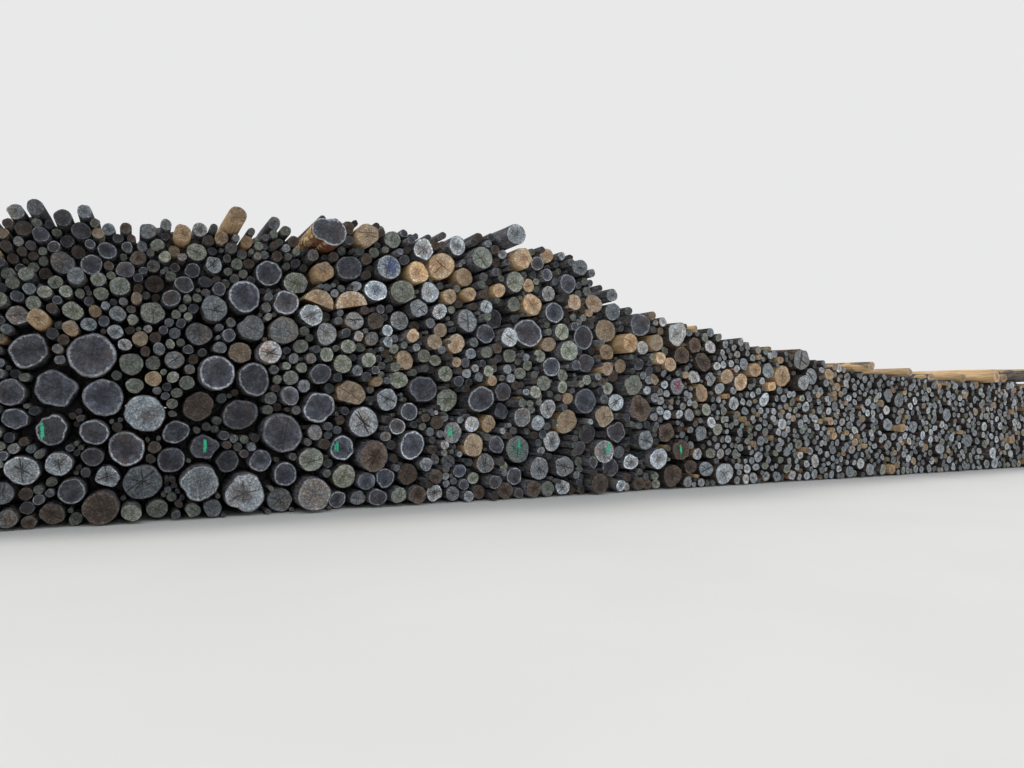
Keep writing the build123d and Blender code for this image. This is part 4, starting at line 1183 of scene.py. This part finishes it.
def gaps_between():
    """Middles of the gaps that logs close in on all sides, each with its outline."""
    logs = np.array(ALL_LOGS)
    ways = gap_ways()
    down = ways[:, 1] < -0.01
    found = []
    for x, z in gap_middles(logs):
        near = logs[np.hypot(logs[:, 0] - x, logs[:, 1] - z) < logs[:, 2] + GAP_REACH]
        offset = near[:, :2] - (x, z)
        along = ways @ offset.T
        miss = near[:, 2] ** 2 - (np.hypot(*offset.T)[None] ** 2 - along ** 2)
        run = np.where((miss > 0.0) & (along > 0.0),
                       along - np.sqrt(np.maximum(miss, 0.0)), OPEN)
        far = run.min(axis=1) if len(near) else np.full(GAP_SIDES, OPEN)
        far = np.minimum(far, np.where(down, z / np.maximum(-ways[:, 1], 0.01), OPEN))
        if far.max() < GAP_REACH:
            found.append((x, z, far))
    return found


def build_litter(context):
    """Dark lumps of painted shade deep in the gaps, each lump as wide as its gap."""
    back = max(log[1] + log[5] for logs in LOGS_IN.values() for log in logs) - LITTER_BACK
    sides = range(GAP_SIDES)
    points, faces = [], []
    for x, z, far in gaps_between():
        seed = seed_of(x, z)
        start = FACE_Y + LITTER_DEPTH + (seed * 7.3) % LITTER_STAGGER
        far = np.minimum(*(far * grow + more for grow, more in LITTER_GROWTH))
        first = len(points)
        for share, depth in LITTER_RINGS:
            for n, (across, up) in enumerate(gap_ways()):
                wave = LITTER_WAVE * math.sin(seed + 2.4 * n)
                points.append((x + share * far[n] * across,
                               min(start + depth + wave, back),
                               max(z + share * far[n] * up, LITTER_HEIGHT)))
        for ring in range(len(LITTER_RINGS) - 1):
            a = first + ring * GAP_SIDES
            b = a + GAP_SIDES
            faces += [(a + n, a + (n + 1) % GAP_SIDES, b + (n + 1) % GAP_SIDES, b + n)
                      for n in sides]
        faces.append(tuple(first + n for n in reversed(sides)))
        faces.append(tuple(b + n for n in sides))
    piece = add_shell(new_mesh("gap_litter", points, faces, litter_material()))
    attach(piece, "root")


# Sprayed strokes, laid on the sawn ends

def around(log, piece):
    """A search tree over the faces of a piece that lie close to one log's front end."""
    x, y, z, radius = log[:4]
    points, corners = points_and_triangles(piece.data)
    middles = points[corners].mean(axis=1)
    close = np.hypot(middles[:, 0] - x, middles[:, 2] - z) < radius * 1.2
    close &= middles[:, 1] < y + FRONT_DEPTH
    used, local = np.unique(corners[close], return_inverse=True)
    return BVHTree.FromPolygons([tuple(v) for v in points[used].tolist()],
                                local.reshape(-1, 3).tolist())


def stroke(shell, tree, log, place, size, turn, curve):
    """Adds one stroke to a shell: a thin closed strip that lies on the log's end."""
    x, y, z, radius = log[:4]
    wide, high = size
    across, along = STROKE_FACES
    cosine, sine = math.cos(turn), math.sin(turn)
    cover = HAZE if wide > HAZE_FROM * high else 1.0
    edge = shell.verts.layers.float["edge"]
    layers = []
    for depth in STROKE_DEPTHS:
        grid = {}
        for i, k in itertools.product(range(along + 1), range(across + 1)):
            u, v = k / across - 0.5, i / along - 0.5
            ox = u * wide * (1.0 - 0.5 * abs(v)) + curve * (0.25 - v * v)
            oz = v * high
            px = x + place[0] * radius + ox * cosine - oz * sine
            pz = z + place[1] * radius + ox * sine + oz * cosine
            hit = tree.ray_cast(Vector((px, y - STROKE_START, pz)), INWARDS)[0]
            if hit is None:      # the stroke would run past the end
                return
            vertex = grid[i, k] = shell.verts.new((px, hit.y + depth, pz))
            vertex[edge] = cover * min(1.0 - 2.0 * abs(u), 1.0 - 2.0 * abs(v) + 0.25)
        layers.append(grid)
    top, under = layers
    for i, k in itertools.product(range(along), range(across)):
        corners = (i, k), (i, k + 1), (i + 1, k + 1), (i + 1, k)
        shell.faces.new([top[corner] for corner in corners])
        shell.faces.new([under[corner] for corner in reversed(corners)])
    loop = [(0, k) for k in range(across)] + [(i, across) for i in range(along)]
    loop += [(along, k) for k in range(across, 0, -1)]
    loop += [(i, 0) for i in range(along, 0, -1)]
    for here, on in zip(loop, loop[1:] + loop[:1]):
        shell.faces.new((top[here], under[here], under[on], top[on]))


def build_strokes(context):
    """Green and red marks and blue scribble that a forester sprays on sawn ends."""
    sizes, colours = context.scene.log_stack_sizes, context.scene.log_stack_colours
    for name, spots in STROKES.items():
        shell = bmesh.new()
        shell.verts.layers.float.new("edge")
        for (photo_x, z), marks in spots:
            x = PHOTO_ZERO_X + photo_x
            log, owner = min(LOG_PLACES, key=lambda entry: math.hypot(
                entry[0][0] - x, entry[0][2] - z) - 0.8 * entry[0][3])
            tree = around(log, owner)
            for place, width, height, turn, curve in marks:
                stroke(shell, tree, log, place,
                       (width * sizes.stroke_width, height * log[3]),
                       math.radians(turn), curve * log[3])
        paint = paint_material(name, getattr(colours, f"{name}_paint"))
        mesh = new_mesh(f"{name}_strokes", [], [], paint)
        shell.to_mesh(mesh)
        shell.free()
        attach(add_shell(mesh), "root")


LOG_PLACES = []      # every log built, for the strokes that go on their ends


def build_finish(finish, context):
    """All pieces of one finish of end wood, a piece for each part of the row."""
    sizes, colours = context.scene.log_stack_sizes, context.scene.log_stack_colours
    end = end_material(finish, colours)
    bark = bark_material(finish, colours)
    pole_bark = bpy.data.materials.get("pole_bark") or bark_material("poles", colours)
    barks = {"logs": bark, "poles": bark if finish == "tan" else pole_bark}
    for kind, bays in BAY_GROUPS:
        nodes = [f"{finish}_{kind}_bay_{bay}" for bay in bays]
        nodes = [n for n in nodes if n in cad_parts]
        if not nodes:
            continue
        logs = [log for node in nodes for log in LOGS_IN[node]]
        name = f"{finish}_{kind}_" + "_".join(str(b) for b in bays)
        piece = log_piece(name, logs, barks[kind], end, sizes,
                          POLES_UNEVEN if kind == "poles" else 1.0)
        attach(piece, "root")
        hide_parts(*nodes)
        LOG_PLACES.extend((log, piece) for log in logs)


# Floor, light and camera

def lay_floor(scene):
    h = FLOOR_HALF
    material, tree = new_material("pale_floor")
    soft = noise(coordinates(tree, "Object"), 0.35, 3.0, 0.5)
    shade = mix(ramp(soft, 0.3, 0.7, 0.0, 0.35), tuple(scene.log_stack_colours.floor),
                srgb("c6c5c2"))
    surface(material, shade, 0.95)
    floor = add_object(new_mesh("floor", [
        (-h, -h, -FLOOR_DROP), (h, -h, -FLOOR_DROP), (h, h, -FLOOR_DROP),
        (-h, h, -FLOOR_DROP)], [(0, 1, 2, 3)], material))
    floor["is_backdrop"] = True


def light_up(scene):
    """Soft light from all sides, which the camera sees as plain grey, and a low sun."""
    scene.world = world = bpy.data.worlds.new("studio")
    world.use_nodes = True
    tree = world.node_tree
    tree.nodes.clear()
    light, shown = (
        put(tree, "ShaderNodeBackground", {"Color": tint, "Strength": strength})[0]
        for tint, strength in ((SKY_LIGHT, SKY_STRENGTH), (srgb("e9e9ea"), 1.0)))
    rays = put(tree, "ShaderNodeLightPath")
    seen = maths("MAXIMUM", rays["Is Camera Ray"],
                 maths("MAXIMUM", rays["Is Glossy Ray"], rays["Is Transmission Ray"]))
    both = put(tree, "ShaderNodeMixShader", {0: seen, 1: light, 2: shown})[0]
    put(tree, "ShaderNodeOutputWorld", {"Surface": both})

    lamp = bpy.data.lights.new("key", "SUN")
    lamp.energy = SUN_ENERGY
    lamp.angle = math.radians(SUN_ANGLE)
    lamp.color = SUN_COLOUR
    add_object(lamp).rotation_euler = Vector(SUN_WAY).to_track_quat("-Z", "Y").to_euler()


def set_camera(scene):
    camera = bpy.data.cameras.new("camera")
    camera.sensor_width = SENSOR
    camera.lens = FOCAL_PIXELS / IMAGE_WIDTH * SENSOR
    camera.clip_end = CAMERA_FAR
    view = add_object(camera)
    view.location = (PHOTO_ZERO_X, FACE_Y - CAMERA_DISTANCE, CAMERA_HEIGHT)
    view.rotation_euler = (math.radians(90.0 + CAMERA_RISE), 0.0,
                           math.radians(-CAMERA_TURN))
    scene.camera = view
    scene.view_settings.view_transform = "Standard"


class LogOperator:
    """Shared by the operators that build one finish"""
    bl_options = {"REGISTER", "UNDO"}
    finish = ""

    def execute(self, context):
        build_finish(self.finish, context)
        return {"FINISHED"}


class LOGSTACK_OT_dark_logs(LogOperator, bpy.types.Operator):
    """Build the logs with slate-dark ends"""
    bl_idname = "logstack.dark_logs"
    bl_label = "Dark Logs"
    finish = "dark"


class LOGSTACK_OT_grey_logs(LogOperator, bpy.types.Operator):
    """Build the logs with grey ends"""
    bl_idname = "logstack.grey_logs"
    bl_label = "Grey Logs"
    finish = "grey"


class LOGSTACK_OT_pale_logs(LogOperator, bpy.types.Operator):
    """Build the logs and poles with bleached ends"""
    bl_idname = "logstack.pale_logs"
    bl_label = "Pale Logs"
    finish = "pale"


class LOGSTACK_OT_tan_logs(LogOperator, bpy.types.Operator):
    """Build the logs with tan ends"""
    bl_idname = "logstack.tan_logs"
    bl_label = "Tan Logs"
    finish = "tan"


class LOGSTACK_OT_mossy_logs(LogOperator, bpy.types.Operator):
    """Build the logs with greenish ends"""
    bl_idname = "logstack.mossy_logs"
    bl_label = "Mossy Logs"
    finish = "mossy"


class LOGSTACK_OT_brown_logs(LogOperator, bpy.types.Operator):
    """Build the logs with brown ends"""
    bl_idname = "logstack.brown_logs"
    bl_label = "Brown Logs"
    finish = "brown"


class LOGSTACK_OT_split_logs(bpy.types.Operator):
    """Build the two logs that were split in half"""
    bl_idname = "logstack.split_logs"
    bl_label = "Split Logs"

    def execute(self, context):
        build_split_logs(context)
        return {"FINISHED"}


class LOGSTACK_OT_forked_log(bpy.types.Operator):
    """Build the forked log on top of the stack"""
    bl_idname = "logstack.forked_log"
    bl_label = "Forked Log"

    def execute(self, context):
        build_forked_log(context)
        return {"FINISHED"}


class LOGSTACK_OT_litter(bpy.types.Operator):
    """Fill the gaps deep in the stack with dark lumps of painted shade"""
    bl_idname = "logstack.litter"
    bl_label = "Gap Litter"

    def execute(self, context):
        build_litter(context)
        return {"FINISHED"}


class LOGSTACK_OT_strokes(bpy.types.Operator):
    """Lay the sprayed strokes on the sawn ends"""
    bl_idname = "logstack.strokes"
    bl_label = "Strokes"

    def execute(self, context):
        build_strokes(context)
        return {"FINISHED"}


class LOGSTACK_OT_stage(bpy.types.Operator):
    """Set up the floor, the soft light and the camera"""
    bl_idname = "logstack.stage"
    bl_label = "Stage"

    def execute(self, context):
        lay_floor(context.scene)
        light_up(context.scene)
        set_camera(context.scene)
        return {"FINISHED"}


OPERATORS = (LOGSTACK_OT_dark_logs, LOGSTACK_OT_grey_logs, LOGSTACK_OT_pale_logs,
             LOGSTACK_OT_tan_logs, LOGSTACK_OT_mossy_logs, LOGSTACK_OT_brown_logs,
             LOGSTACK_OT_split_logs, LOGSTACK_OT_forked_log, LOGSTACK_OT_litter,
             LOGSTACK_OT_strokes, LOGSTACK_OT_stage)


class LOGSTACK_PT_panel(bpy.types.Panel):
    """Lists the steps that build the stack"""
    bl_idname = "LOGSTACK_PT_panel"
    bl_label = "Stack of Logs"
    bl_space_type = "VIEW_3D"
    bl_region_type = "UI"
    bl_category = "Logs"

    def draw(self, context):
        layout = self.layout
        for group in (context.scene.log_stack_sizes, context.scene.log_stack_colours):
            for key in group.__annotations__:
                layout.prop(group, key)
        for operator in OPERATORS:
            layout.operator(operator.bl_idname)


CLASSES = (LogStackSizes, LogStackColours, *OPERATORS, LOGSTACK_PT_panel)


def register():
    for item in CLASSES:
        bpy.utils.register_class(item)
    bpy.types.Scene.log_stack_sizes = bpy.props.PointerProperty(type=LogStackSizes)
    bpy.types.Scene.log_stack_colours = bpy.props.PointerProperty(type=LogStackColours)


def unregister():
    del bpy.types.Scene.log_stack_sizes
    del bpy.types.Scene.log_stack_colours
    for item in reversed(CLASSES):
        bpy.utils.unregister_class(item)


def main():
    register()
    for operator in OPERATORS:
        family, name = operator.bl_idname.split(".")
        getattr(getattr(bpy.ops, family), name)()
    low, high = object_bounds()


if __name__ == "__main__":
    main()
